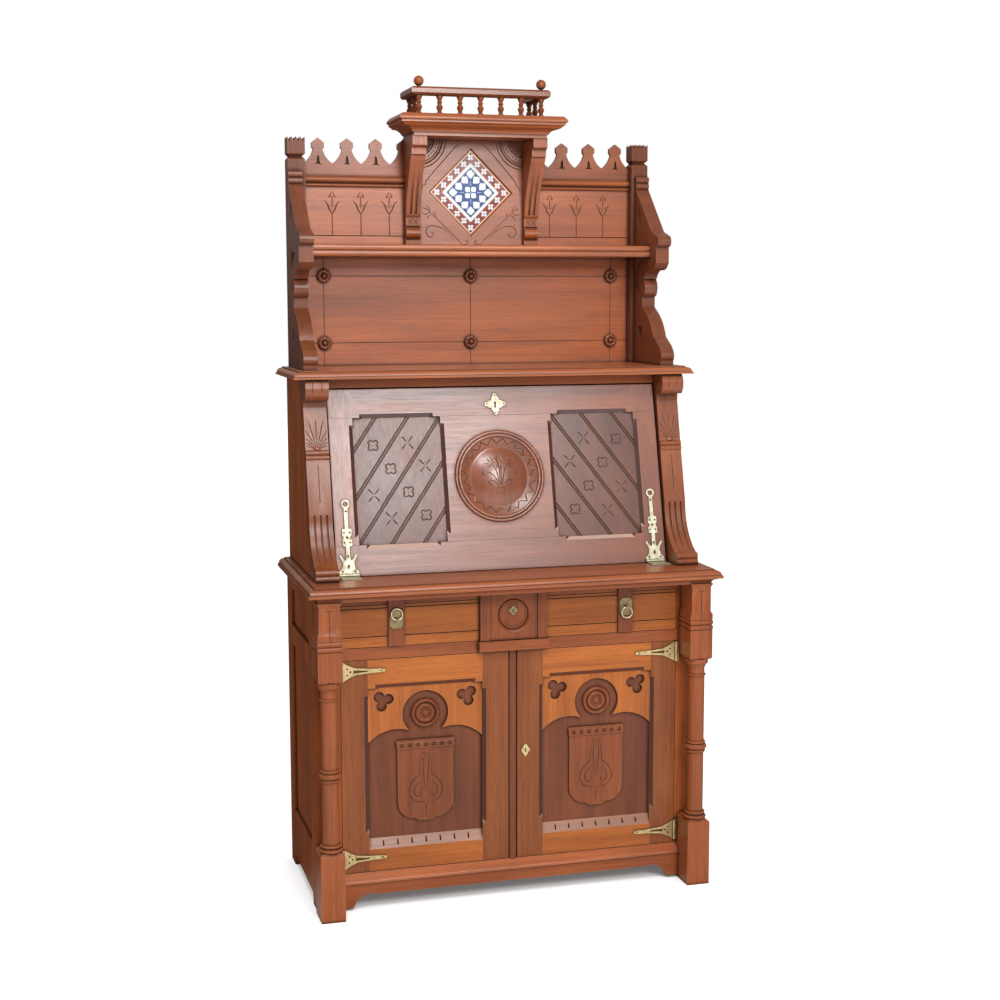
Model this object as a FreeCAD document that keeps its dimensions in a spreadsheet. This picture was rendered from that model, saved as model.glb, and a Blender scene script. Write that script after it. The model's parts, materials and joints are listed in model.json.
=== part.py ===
import FreeCAD
import Part
import Sketcher
import math
import os

# Drop front desk of carved walnut: a cupboard and drawer below, a leaning fall front above it, and a
# hutch with a tile board, cresting and a small gallery on top.
# Frame: X to the viewer's right, Y towards the wall, Z up, origin on the floor under the middle.
# Lengths are millimetres. "Reach" is the distance of a point in front of the wall plane.

SIZES = {
    # Writing ledge, which gives the desk its full width and depth
    "top_width": 1024, "top_reach": 498, "top_level": 802, "top_thick": 22, "top_lip": 7, "top_quirk": 3,
    "top_round": 11, "top_overhang": 8, "bed_high": 14, "bed_project": 11, "bed_deep": 14, "bed_fillet": 3,
    "bed_quirk": 2,
    # Lower case
    "case_inset": 24, "case_face": 405, "board_thick": 22, "back_thick": 10, "stile_width": 62,
    "rear_foot": 60, "front_foot": 62, "foot_high": 28, "foot_round": 14,
    "side_stile": 68, "side_rail_low": 150, "side_rail_mid": 48, "side_window_high": 440,
    "side_top_rail": 46, "side_panel_inset": 7, "side_panel_thick": 9,
    "sill_level": 88, "sill_front": 18, "sill_fall": 16, "sill_lip": 6,
    "apron_thick": 14, "apron_low": 37, "apron_end_low": 6, "apron_end_long": 30, "apron_sweep": 58,
    "shelf_board": 18, "cupboard_shelf_level": 348, "cupboard_shelf_reach": 330,
    "rail_thick": 22, "top_rail_high": 37, "drawer_rail_high": 28, "mullion_width": 20, "mullion_proud": 2,
    "mullion_chamfer": 4, "swing_gap": 1.5, "run_gap": 0.3,
    "ledge_block_width": 176, "ledge_block_reach": 18, "ledge_block_slope": 2, "ledge_block_lift": 4,
    # Columns with their blocks
    "block_width": 58, "block_inset": 26, "block_front": 483, "plinth_high": 167, "plinth_chamfer": 7,
    "capital_foot": 74, "bead_high": 13, "waist_inset": 4, "waist_high": 60, "waist_slope": 8,
    "capital_cap": 1, "shaft_radius": 20, "base_ring": 9, "mid_ring": 10, "mid_ring_level": 170,
    "neck_ring": 5, "cup_high": 34, "cup_radius": 28,
    # Drawer
    "drawer_high": 100, "drawer_side_thick": 12, "drawer_side_high": 88, "drawer_back_reach": 40,
    "drawer_bottom_thick": 6, "drawer_groove": 2.5, "drawer_groove_rise": 25, "drawer_groove_drop": 7,
    "pull_inset": 135,
    "pull_strip_width": 38, "pull_strip_proud": 5, "lock_block_width": 122, "lock_block_proud": 9,
    "lock_post_width": 23, "lock_post_proud": 12, "lock_dish_radius": 43.5, "lock_dish_deep": 6,
    "lock_dish_ring": 2, "drawer_lock_rise": 9,
    "plate_width": 32, "plate_high": 44, "plate_thick": 2, "eye_radius": 3.8, "eye_hole": 2.7,
    "eye_stand": 8, "ring_radius": 13.5, "ring_wire": 1.9, "ring_play": 0.27, "left_ring_angle": 15,
    "eye_rise": 15,
    # Doors
    "door_thick": 22, "door_stile": 65, "door_top_rail": 70, "door_bottom_rail": 54,
    "door_panel_set": 12, "door_panel_thick": 9, "door_sill_rise": 24, "door_sill_groove": 4,
    "spandrel_thick": 7, "spandrel_drop": 135, "lobe_drop": 70, "lobe_half_mouth": 40,
    "trefoil_inset": 37.5, "trefoil_drop": 33, "trefoil_radius": 13,
    "roundel_radius": 35, "roundel_proud": 7, "shield_width": 139, "shield_drop": 135,
    "shield_high": 202, "shield_foot": 32, "shield_thick": 5, "shield_round": 40, "shield_step": 7,
    "shield_band": 21, "shield_band_proud": 2, "shield_tooth": 10,
    "stop_chamfer": 9, "stop_chamfer_deep": 4, "stop_chamfer_end": 18,
    "hinge_length": 50, "hinge_wide": 113, "hinge_thick": 2.5, "hinge_barrel": 3.5, "hinge_pin": 1.5,
    "hinge_clear": 0.05, "hinge_stand": 4, "hinge_gap": 0.5, "hinge_inset": 26, "hinge_tip": 4,
    "escutcheon_wide": 17, "escutcheon_thick": 2, "keyhole_radius": 2.4, "keyhole_long": 9,
    "door_plate_wide": 24, "door_plate_high": 34, "door_lock_rise": 11,
    # Leaning desk with its fall front
    "desk_width": 960, "desk_high": 470, "fall_lean_angle": 14.1, "fall_width": 838, "fall_slant": 451,
    "fall_thick": 22, "fall_foot_reach": 346.5, "fall_foot_rise": 4, "fall_foot_gap": 2.5,
    "fall_panel_width": 219, "fall_panel_high": 310, "fall_panel_low": 71, "fall_panel_spread": 251.5,
    "fall_panel_set": 5, "fall_panel_thick": 10, "fall_groove_wide": 6, "fall_line_wide": 2,
    "fall_groove_deep": 1.5, "fall_groove_pitch": 81, "medallion_level": 228, "medallion_radius": 114,
    "medallion_hole": 104, "medallion_ring": 5, "dish_radius": 98, "dish_deep": 9, "dome_radius": 74,
    "dome_rise": 17, "medallion_thick": 17,
    "fall_lock_level": 408, "fall_strap_spread": 390, "fall_strap_base": 48,
    "fall_strap_long": 172, "fall_strap_width": 9, "fall_strap_ring": 10.6, "fall_strap_eye": 6.5,
    "fall_strap_foot": 26, "leaf_long": 40, "stop_drop": 26, "lock_rail_gap": 4,
    "lock_rail_deep": 46,
    "console_width": 56, "console_scroll": 50, "console_scroll_reach": 299, "console_collar": 17,
    "console_collar_proud": 18, "console_body_proud": 12, "console_bead": 11, "console_shell": 103,
    "console_panel": 129, "console_foot_high": 30, "console_foot_reach": 408, "console_sweep": 0.28,
    "console_groove": 5, "console_groove_deep": 4, "console_groove_pitch": 15, "console_quirk": 4,
    "console_foot_back": 10, "console_bead_proud": 1,
    "pigeonhole_level": 248, "pigeonhole_board": 10, "pigeonhole_reach": 185, "pigeonhole_pitch": 153,
    # Hutch
    "ledge_width": 1016, "ledge_reach": 299, "ledge_thick": 19, "ledge_lip": 5, "ledge_quirk": 3,
    "ledge_round": 10,
    "hutch_width": 950, "post_width": 44, "hutch_back_thick": 12, "hutch_shelf_rise": 275,
    "hutch_shelf_thick": 28, "hutch_shelf_reach": 165, "incised_wide": 2.5, "incised_deep": 1.5,
    "rosette_spread": 384, "rosette_rise": 58, "rosette_pitch": 169, "rosette_radius": 17,
    "rosette_proud": 15, "frieze_high": 175, "frieze_thick": 17, "frieze_line_rise": 25,
    "frieze_torus": 15, "frieze_bead": 7, "frieze_moulding_high": 28, "frieze_fillet": 2,
    "post_high": 570, "post_neck_drop": 49, "post_neck": 7, "crown_tooth": 14, "crown_teeth": 4,
    "crest_end": 35, "crest_valley": 29, "crest_tip": 92, "crest_shoulder": 16, "crest_shoulder_low": 68,
    "crest_shoulder_high": 80, "crest_neck": 12, "crest_neck_level": 64, "crest_thick": 13,
    "crest_hole": 15, "crest_hole_level": 31, "crest_hole_rise": 20, "crest_hole_waist": 4,
    # Brackets of the hutch, by reach and by rise above the ledge
    "bracket_thick": 35, "bracket_high": 485, "bracket_foot": 242, "bracket_toe": 12, "bracket_foot_high": 49,
    "bracket_step": 190, "bracket_step_rise": 71, "bracket_knee": 133, "bracket_knee_rise": 132,
    "bracket_waist": 107, "bracket_waist_low": 147, "bracket_waist_high": 174, "bracket_scroll": 219,
    "bracket_arm": 203, "bracket_arm_low": 259, "bracket_arm_high": 300, "bracket_roll_high": 327,
    "bracket_brow": 168, "bracket_neck": 58, "bracket_bead": 16, "bracket_lip": 6,
    "lancet_reach": 78, "lancet_rise": 348, "lancet_wide": 22, "lancet_high": 62,
    "web_reach": 66, "web_rise": 236, "web_wide": 74, "web_high": 64,
    "slit_reach": 70, "slit_rise": 176, "slit_wide": 18, "slit_high": 44,
    "leaf_reach": 90, "leaf_rise": 84, "leaf_wide": 24,
    # Tile board with its brackets, cornice and gallery
    "tile_board_width": 350, "tile_board_thick": 24, "tile_board_high": 269, "tile_side": 152.4,
    "tile_thick": 8, "tile_reach": 18, "tile_lap": 1.75, "tile_bevel": 6, "tile_rise": 137,
    "tile_bracket_width": 37, "tile_flute_wide": 6, "tile_flute_deep": 3, "tile_flute_pitch": 13,
    "tile_bracket_foot": 37, "tile_bracket_foot_high": 14, "tile_bracket_roll": 25, "tile_bracket_knee": 40,
    "tile_sweep_rise": 74, "tile_bracket_shaft": 104, "tile_bracket_collar": 110, "tile_collar_high": 16,
    "tile_bracket_crown": 122, "tile_crown_high": 23,
    "cornice_high": 51, "cornice_width": 428, "cornice_reach": 167, "cornice_foot": 42,
    "cornice_fillet": 8, "cornice_cove": 14, "cornice_step": 4, "cornice_bevel": 8,
    "gallery_width": 358, "gallery_reach": 135, "gallery_rail_wide": 34, "gallery_rail_high": 20,
    "gallery_chamfer": 5, "spindle_high": 47, "spindle_axis": 16,
    "spindle_belly": 8.5, "spindle_neck": 4.5, "ball_radius": 12.5, "ball_neck": 5, "ball_lift": 1.5,
}

doc = FreeCAD.newDocument("DropFrontDesk")
sheet = doc.addObject("Spreadsheet::Sheet", "Sizes")
for row, (alias, number) in enumerate(SIZES.items(), start=1):
    sheet.set(f"A{row}", alias)
    sheet.set(f"B{row}", str(number))
    sheet.setAlias(f"B{row}", alias)
doc.recompute()


class Size:
    """A number together with the sheet formula that gives it."""

    def __init__(self, value, text=None):
        self.value = float(value)
        self.text = text if text else repr(float(value))
        self.bound = text is not None

    def joined(self, other, sign, value):
        text = f"({self.text} {sign} {other.text})"
        return Size(value, text if self.bound or other.bound else None)

    def __add__(self, other):
        other = as_size(other)
        return self.joined(other, "+", self.value + other.value)

    def __sub__(self, other):
        other = as_size(other)
        return self.joined(other, "-", self.value - other.value)

    def __mul__(self, other):
        other = as_size(other)
        return self.joined(other, "*", self.value * other.value)

    def __truediv__(self, other):
        other = as_size(other)
        return self.joined(other, "/", self.value / other.value)

    def __radd__(self, other):
        return as_size(other) + self

    def __rsub__(self, other):
        return as_size(other) - self

    def __rmul__(self, other):
        return as_size(other) * self

    def __neg__(self):
        return as_size(0) - self


def as_size(number):
    return number if isinstance(number, Size) else Size(number)


def of_angle(function, angle):
    """Sine, cosine or tangent of an angle in degrees."""
    value = getattr(math, function)(math.radians(angle.value))
    return Size(value, f"{function}({angle.text} * 1 deg)")


class Named:
    """The sheet's cells by name."""

    def __getattr__(self, alias):
        return Size(SIZES[alias], f"Sizes.{alias}")


S = Named()
WALL = S.top_reach / 2
QUARTER = math.tan(math.pi / 8)
HALF = 0.999


def cap_bulge(rise, radius):
    """Bulge of the arc from the crown of a dome to its rim."""
    return math.tan(math.atan(rise.value / radius.value) / 2)


def y_at(reach, datum=None):
    """Y of a point that stands a reach in front of the wall, or of another datum."""
    return (WALL if datum is None else as_size(datum)) - reach


# Drawing helpers

def new_body(name):
    return doc.addObject("PartDesign::Body", name)


def bind(thing, path, size):
    thing.setExpression(path, as_size(size).text)


def origin_feature(body, role):
    return [feature for feature in body.Origin.OriginFeatures if feature.Role == role][0]


def new_sketch(body, name, plane, offset, shift=(0, 0)):
    sketch = body.newObject("Sketcher::SketchObject", name)
    sketch.AttachmentSupport = [(origin_feature(body, plane), "")]
    sketch.MapMode = "FlatFace"
    bind(sketch, "AttachmentOffset.Base.x", shift[0])
    bind(sketch, "AttachmentOffset.Base.y", shift[1])
    bind(sketch, "AttachmentOffset.Base.z", offset)
    return sketch


def edge_between(start, end, bulge):
    """A line, or an arc whose bulge is the tangent of a quarter of its angle, left turns positive."""
    first = FreeCAD.Vector(start[0], start[1], 0)
    last = FreeCAD.Vector(end[0], end[1], 0)
    if not bulge:
        return Part.LineSegment(first, last)
    lever = (1 - bulge * bulge) / (4 * bulge)
    across = FreeCAD.Vector(first.y - last.y, last.x - first.x, 0)
    centre = (first + last) * 0.5 + across * lever
    begin = math.atan2(first.y - centre.y, first.x - centre.x)
    finish = math.atan2(last.y - centre.y, last.x - centre.x)
    if bulge < 0:
        begin, finish = finish, begin
    if finish < begin:
        finish += 2 * math.pi
    circle = Part.Circle(centre, FreeCAD.Vector(0, 0, 1), (first - centre).Length)
    return Part.ArcOfCircle(circle, begin, finish)


def draw(sketch, outline):
    """A closed outline of (x, y) or (x, y, bulge) corners, each tied to its formula."""
    corners = [(as_size(c[0]), as_size(c[1]), c[2] if len(c) > 2 else 0) for c in outline]
    count = len(corners)
    base = sketch.GeometryCount
    edges = []
    ends = []
    for index, (x, y, bulge) in enumerate(corners):
        after = corners[(index + 1) % count]
        edges.append(edge_between((x.value, y.value), (after[0].value, after[1].value), bulge))
        ends.append((2, 1) if bulge < 0 else (1, 2))
    sketch.addGeometry(edges, False)
    ties = []
    formulas = []
    first_tie = sketch.ConstraintCount
    for index, (x, y, bulge) in enumerate(corners):
        after = (index + 1) % count
        here = base + index
        ties.append(Sketcher.Constraint("Coincident", here, ends[index][1], base + after, ends[after][0]))
        for axis, size in (("DistanceX", x), ("DistanceY", y)):
            if size.bound:
                formulas.append((first_tie + len(ties), size.text))
            ties.append(Sketcher.Constraint(axis, -1, 1, here, ends[index][0], size.value))
        if bulge:
            ties.append(Sketcher.Constraint("Angle", here, 4 * math.atan(abs(bulge))))
    sketch.addConstraint(ties)
    for number, text in formulas:
        sketch.setExpression(f"Constraints[{number}]", text)


def draw_circle(sketch, x, y, radius):
    x, y, radius = as_size(x), as_size(y), as_size(radius)
    index = sketch.GeometryCount
    centre = FreeCAD.Vector(x.value, y.value, 0)
    sketch.addGeometry(Part.Circle(centre, FreeCAD.Vector(0, 0, 1), radius.value), False)
    first_tie = sketch.ConstraintCount
    ties = [("DistanceX", x), ("DistanceY", y)]
    for axis, size in ties:
        sketch.addConstraint(Sketcher.Constraint(axis, -1, 1, index, 3, size.value))
    sketch.addConstraint(Sketcher.Constraint("Radius", index, radius.value))
    for number, size in enumerate((x, y, radius)):
        if size.bound:
            sketch.setExpression(f"Constraints[{first_tie + number}]", size.text)


def pad(body, sketch, length):
    feature = body.newObject("PartDesign::Pad", sketch.Name + "_pad")
    feature.Profile = sketch
    bind(feature, "Length", length)
    return feature


def pocket(body, sketch, depth):
    feature = body.newObject("PartDesign::Pocket", sketch.Name + "_pocket")
    feature.Profile = sketch
    bind(feature, "Length", depth)
    return feature


def row_of(body, feature, role, pitch, count):
    """Repeat a feature along one of the body's axes."""
    pattern = body.newObject("PartDesign::LinearPattern", feature.Name + "_row")
    pattern.Originals = [feature]
    pattern.Direction = (origin_feature(body, role), [""])
    pattern.Mode = "Spacing"
    bind(pattern, "Offset", pitch)
    pattern.Occurrences = count
    body.Tip = pattern
    return pattern


def side_points(outline, datum):
    turned_over = []
    for corner in outline:
        bulge = -corner[2] if len(corner) > 2 else 0
        turned_over.append((y_at(corner[0], datum), corner[1], bulge))
    return turned_over


def lengthwise(body, name, profile, low, high, datum=None):
    """A (reach, level) profile run along X from low to high."""
    sketch = new_sketch(body, name, "YZ_Plane", low)
    draw(sketch, side_points(profile, datum))
    return pad(body, sketch, as_size(high) - low)


def facing(body, name, outline, rear, front, datum=None):
    """An (x, level) outline that stands between two reaches."""
    sketch = new_sketch(body, name, "XZ_Plane", -y_at(rear, datum))
    draw(sketch, outline)
    return pad(body, sketch, as_size(front) - rear)


def flat(body, name, outline, low, high, datum=None):
    """An (x, reach) outline that lies between two levels."""
    sketch = new_sketch(body, name, "XY_Plane", low)
    draw(sketch, [(corner[0], y_at(corner[1], datum)) for corner in outline])
    return pad(body, sketch, as_size(high) - low)


def sunk(body, name, outlines, front, depth, datum=None):
    """Recesses cut straight back from a reach."""
    sketch = new_sketch(body, name, "XZ_Plane", -y_at(front, datum))
    for outline in outlines:
        draw(sketch, outline)
    return pocket(body, sketch, depth)


def pierced(body, name, outlines, right, depth, datum=None):
    """(reach, level) openings cut along X, from the right."""
    sketch = new_sketch(body, name, "YZ_Plane", right)
    for outline in outlines:
        draw(sketch, side_points(outline, datum))
    return pocket(body, sketch, depth)


def lean_sides(cut, run, depth):
    """Slope a recess's sides, so that they close in by a run over its depth."""
    cut.TaperAngle = -math.degrees(math.atan(run.value / depth.value))
    cut.setExpression("TaperAngle", f"-atan({run.text} / {depth.text})")
    return cut


def stop_chamfers(body, name, window, sides, front, datum=None):
    """Sloping cuts along a window's edges, which end short of its corners."""
    left, low, right, high = window
    run, depth, end = S.stop_chamfer, S.stop_chamfer_deep, S.stop_chamfer_end
    cuts = {
        "left": rectangle(left - run, low + end, left + 2 * run, high - end),
        "right": rectangle(right - 2 * run, low + end, right + run, high - end),
        "low": rectangle(left + end, low - run, right - end, low + 2 * run),
        "high": rectangle(left + end, high - 2 * run, right - end, high + run),
    }
    for side in sides:
        cut = sunk(body, f"{name}_{side}", [cuts[side]], front, depth, datum)
        lean_sides(cut, run, depth)


def turned_upright(body, name, x, reach, level, profile):
    """A (radius, height) profile turned about an upright axis."""
    sketch = new_sketch(body, name, "XZ_Plane", -y_at(reach), (x, level))
    draw(sketch, profile)
    feature = body.newObject("PartDesign::Revolution", name + "_turning")
    feature.Profile = sketch
    feature.ReferenceAxis = (sketch, ["V_Axis"])
    feature.Angle = 360
    return feature


def turned_facing(body, name, x, level, profile, datum=None):
    """A (reach, radius) profile turned about an axis that points at the viewer."""
    sketch = new_sketch(body, name, "YZ_Plane", x, (0, level))
    draw(sketch, side_points(profile, datum))
    feature = body.newObject("PartDesign::Revolution", name + "_turning")
    feature.Profile = sketch
    feature.ReferenceAxis = (sketch, ["H_Axis"])
    feature.Angle = 360
    return feature


def rectangle(left, low, right, high):
    return [(left, low), (right, low), (right, high), (left, high)]


def slab(name, left, right, rear, front, low, high):
    """A plain board between three pairs of faces."""
    board = doc.addObject("Part::Box", name)
    bind(board, "Length", as_size(right) - left)
    bind(board, "Width", as_size(front) - rear)
    bind(board, "Height", as_size(high) - low)
    bind(board, "Placement.Base.x", left)
    bind(board, "Placement.Base.y", y_at(front))
    bind(board, "Placement.Base.z", low)
    return board


def both_sides(thing, name):
    """The other hand of a piece, mirrored in the middle plane."""
    twin = doc.addObject("Part::Mirroring", name)
    twin.Source = thing
    twin.Normal = FreeCAD.Vector(1, 0, 0)
    return twin


def group(name, things):
    together = doc.addObject("Part::Compound", name)
    together.Links = things
    return together


def boolean(kind, name, base, tool):
    result = doc.addObject(kind, name)
    result.Base = base
    result.Tool = tool
    return result


def moulded(name, middle, half, rear, front, edge, crown=None):
    """A block with one moulding on its front and both ends: edge is (projection, level, bulge)."""
    middle, half, front = as_size(middle), as_size(half), as_size(front)
    right = [(middle + half + p, z, b) for p, z, b in edge]
    bulges = [0] + [b for p, z, b in edge[:-1]]
    left = [(middle - half - p, z, b) for (p, z, unused), b in zip(edge, bulges)][::-1]
    spare = S.board_thick
    seen = new_body(name + "_seen_from_front")
    facing(seen, name + "_front_outline", right + left, rear, front + spare)
    across = new_body(name + "_seen_from_side")
    profile = [(rear, edge[0][1])] + [(front + p, z, b) for p, z, b in edge] + [(rear, edge[-1][1])]
    lengthwise(across, name + "_side_outline", profile, middle - half - spare, middle + half + spare)
    return boolean("Part::Common", name + "_moulded", seen, across)


# Shared levels and places
top_under = S.top_level - S.top_thick
bed_under = top_under - S.bed_high
case_half = S.top_width / 2 - S.case_inset
stile_inner = case_half - S.stile_width
case_inner = case_half - S.board_thick
door_back = S.case_face - S.door_thick
drawer_top = top_under - S.top_rail_high - S.swing_gap
drawer_low = drawer_top - S.drawer_high
drawer_rail_top = drawer_low - S.swing_gap
drawer_rail_low = drawer_rail_top - S.drawer_rail_high
door_top = drawer_rail_low - S.swing_gap
door_low = S.sill_level + S.swing_gap
desk_half = S.desk_width / 2
desk_inner = desk_half - S.board_thick
console_inner = desk_half - S.console_width
ledge_under = S.top_level + S.desk_high
ledge_top = ledge_under + S.ledge_thick
shelf_under = ledge_top + S.hutch_shelf_rise
shelf_top = shelf_under + S.hutch_shelf_thick
frieze_top = shelf_top + S.frieze_high
hutch_half = S.hutch_width / 2
post_inner = hutch_half - S.post_width
bracket_inner = hutch_half - S.bracket_thick
tile_board_half = S.tile_board_width / 2
tile_board_top = shelf_top + S.tile_board_high
cornice_top = tile_board_top + S.cornice_high
gallery_under = cornice_top + S.spindle_high
gallery_top = gallery_under + S.gallery_rail_high
block_half = S.block_width / 2
block_middle = case_half - S.block_inset
block_inner = block_middle - block_half
column_reach = S.block_front - block_half
capital_high = S.capital_foot + 3 * S.bead_high + S.waist_high + 2 * S.waist_slope + S.capital_cap

NODES = {}


def node(name, thing):
    thing.Label = name
    NODES[name] = thing
    return thing


def pair_node(name, thing):
    return node(name, group(name + "_pair", [thing, both_sides(thing, name + "_twin")]))


# Lower case

def build_base_sides():
    front_foot = S.case_face - S.front_foot
    under = S.foot_high - S.foot_round
    outline = [
        (0, 0), (S.rear_foot, 0), (S.rear_foot, under, -QUARTER), (S.rear_foot + S.foot_round, S.foot_high),
        (front_foot - S.foot_round, S.foot_high, -QUARTER), (front_foot, under), (front_foot, 0),
        (S.case_face, 0), (S.case_face, top_under), (0, top_under),
    ]
    frame = new_body("base_frame")
    lengthwise(frame, "base_frame_board", outline, case_inner, case_half)
    stile = rectangle(stile_inner, 0, case_half, top_under)
    facing(frame, "base_front_stile", stile, door_back, S.case_face)
    rear, front = S.side_stile, S.case_face - S.side_stile
    low = S.side_rail_low
    middle = low + S.side_window_high
    upper = middle + S.side_rail_mid
    high = top_under - S.side_top_rail
    windows = [(low, middle), (upper, high)]
    openings = [rectangle(rear, bottom, front, top) for bottom, top in windows]
    pierced(frame, "base_side_windows", openings, case_half, S.board_thick)
    face = case_half - S.side_panel_inset
    panels = [
        slab(f"base_side_panel_{number}", face - S.side_panel_thick, face, rear, front, bottom, top)
        for number, (bottom, top) in enumerate(windows, start=1)
    ]
    right = node("base_side_right", group("base_side_right_group", [frame] + panels))
    node("base_side_left", both_sides(right, "base_side_left_twin"))


def build_case_boards():
    back = slab("base_back_board", -case_inner, case_inner, 0, S.back_thick, S.foot_high, top_under)
    node("base_back", back)
    floor = new_body("cupboard_floor_board")
    plan = [
        (-case_inner, S.back_thick), (case_inner, S.back_thick), (case_inner, door_back),
        (stile_inner, door_back), (stile_inner, S.case_face), (-stile_inner, S.case_face),
        (-stile_inner, door_back), (-case_inner, door_back),
    ]
    flat(floor, "cupboard_floor_plan", plan, S.sill_level - S.shelf_board, S.sill_level)
    node("cupboard_floor", floor)
    node("cupboard_shelf", slab("cupboard_shelf_board", -case_inner, case_inner, S.back_thick,
                                S.cupboard_shelf_reach, S.cupboard_shelf_level - S.shelf_board,
                                S.cupboard_shelf_level))
    node("top_rail", slab("top_rail_board", -stile_inner, stile_inner, S.case_face - S.rail_thick,
                          S.case_face - S.run_gap, top_under - S.top_rail_high, top_under))
    runner = slab("drawer_runner", case_inner - S.side_stile, case_inner, S.back_thick, door_back,
                  drawer_rail_low, drawer_low - S.run_gap)
    pair_node("drawer_runners", runner)


def build_drawer_rail():
    rail = slab("drawer_rail_board", -stile_inner, stile_inner, S.case_face - S.rail_thick, S.case_face,
                drawer_rail_low, drawer_rail_top)
    block = new_body("ledge_block")
    front, low = S.case_face + S.ledge_block_reach, drawer_rail_low + S.ledge_block_lift
    slope, half = S.ledge_block_slope, S.ledge_block_width / 2
    profile = [(S.case_face, low), (front, low), (front, drawer_rail_top - slope),
               (front - slope, drawer_rail_top), (S.case_face, drawer_rail_top)]
    lengthwise(block, "ledge_block_profile", profile, -half, half)
    node("drawer_rail", group("drawer_rail_group", [rail, block]))


def build_mullion():
    half = S.mullion_width / 2
    front = S.case_face + S.mullion_proud
    cut = S.mullion_chamfer
    mullion = new_body("mullion")
    plan = [(-half, door_back), (half, door_back), (half, front - cut), (half - cut, front),
            (cut - half, front), (-half, front - cut)]
    flat(mullion, "mullion_plan", plan, S.sill_level, drawer_rail_low)
    node("center_mullion", mullion)


def build_sill():
    front = S.case_face + S.sill_front
    low = S.sill_level - S.sill_fall - S.sill_lip
    sill = new_body("sill")
    profile = [(S.case_face, low), (front, low), (front, low + S.sill_lip, QUARTER / 2),
               (front - S.sill_lip / 4, low + S.sill_lip * 1.25), (S.case_face, S.sill_level)]
    lengthwise(sill, "sill_profile", profile, -block_inner, block_inner)
    node("sill_rail", sill)
    apron = new_body("apron_board")
    foot = block_inner - S.apron_end_long
    sweep = foot - S.apron_sweep
    outline = [
        (-block_inner, S.apron_end_low), (-foot, S.apron_end_low, -QUARTER), (-sweep, S.apron_low),
        (sweep, S.apron_low, -QUARTER), (foot, S.apron_end_low), (block_inner, S.apron_end_low),
        (block_inner, low), (-block_inner, low),
    ]
    facing(apron, "apron_outline", outline, S.case_face, S.case_face + S.apron_thick)
    node("apron", apron)


# Columns

def build_plinth_blocks():
    cut = S.plinth_chamfer
    edge = [(0, 0, 0), (0, S.plinth_high - cut, 0), (-cut, S.plinth_high, 0)]
    block = moulded("plinth", block_middle, block_half, S.case_face, S.block_front, edge)
    pair_node("plinth_blocks", block)


def build_capital_blocks():
    low = bed_under - capital_high
    bead = low + S.capital_foot
    waist = bead + 3 * S.bead_high
    upper = waist + S.waist_slope + S.waist_high
    inset = -S.waist_inset
    edge = [
        (inset, low, 0), (0, low - inset, 0), (0, bead, 0), (inset / 2, bead, HALF / 2),
        (inset / 2, bead + S.bead_high, HALF / 2), (inset / 2, bead + 2 * S.bead_high, 0),
        (0, bead + 2 * S.bead_high, 0), (0, waist, 0), (inset, waist + S.waist_slope, 0), (inset, upper, 0),
        (0, upper + S.waist_slope, 0), (0, bed_under, 0),
    ]
    block = moulded("capital", block_middle, block_half, S.case_face, S.block_front, edge)
    pair_node("capital_blocks", block)


def build_columns():
    high = bed_under - capital_high - S.plinth_high
    shaft, ring, mid, collar = S.shaft_radius, S.base_ring, S.mid_ring, S.neck_ring
    start = S.mid_ring_level
    cup = high - S.cup_high
    neck = cup - 2 * collar
    profile = [
        (0, 0), (shaft + ring / 2, 0, 0.8), (shaft + ring / 2, ring), (shaft + ring / 4, ring),
        (shaft + ring / 4, 1.3 * ring, 0.8), (shaft + ring / 4, 2.1 * ring), (shaft, 2.1 * ring),
        (shaft, start), (shaft + mid / 8, start, 0.7), (shaft + mid / 8, start + 0.8 * mid),
        (shaft + mid / 4, start + 0.8 * mid, 0.7), (shaft + mid / 4, start + 2.2 * mid),
        (shaft + mid / 8, start + 2.2 * mid, 0.7), (shaft + mid / 8, start + 3 * mid),
        (shaft, start + 3 * mid), (shaft, neck), (shaft + collar / 5, neck, 0.8),
        (shaft + collar / 5, neck + collar), (shaft, neck + collar), (shaft, cup, -QUARTER * 0.7),
        (S.cup_radius, high - S.cup_high / 3), (S.cup_radius, high), (0, high),
    ]
    column = new_body("column")
    turned_upright(column, "column_profile", block_middle, column_reach, S.plinth_high, profile)
    pair_node("columns", column)


# Writing ledge

def board_edge(low, high, lip, quirk, rounding):
    """The moulded edge of a ledge: a square lip, a round set back above it and a small step on top."""
    shoulder = high - quirk
    return [(0, low, 0), (0, low + lip, 0), (-quirk, low + lip, QUARTER), (-quirk - rounding, shoulder, 0),
            (-quirk * 2 - rounding, shoulder, 0), (-quirk * 2 - rounding, high, 0)]


def build_writing_ledge():
    edge = board_edge(top_under, S.top_level, S.top_lip, S.top_quirk, S.top_round)
    board = moulded("desk_top", 0, S.top_width / 2, 0, S.top_reach, edge)
    node("desk_top", board)
    project, shelf = S.bed_project, top_under - S.bed_fillet
    foot = S.top_reach - S.top_overhang - project
    edge = [(0, bed_under, -QUARTER), (project - S.bed_quirk, shelf, 0), (project, shelf, 0),
            (project, top_under, 0)]
    outer = moulded("bed", 0, case_half, 0, foot, edge)
    inner = slab("bed_inside", -case_half, case_half, -S.bed_deep, foot - S.bed_deep, bed_under - S.bed_high,
                 S.top_level)
    node("bed_moulding", boolean("Part::Cut", "bed_moulding_cut", outer, inner))


# Leaning desk

lean = S.fall_lean_angle
lean_run = of_angle("tan", lean)
fall_foot = S.top_level + S.fall_foot_rise


def fall_reach(level, behind=0):
    """Reach of the fall's outer face at a level, or of a plane behind it."""
    set_back = as_size(behind) / of_angle("cos", lean)
    return S.fall_foot_reach - (as_size(level) - fall_foot) * lean_run - set_back


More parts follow.
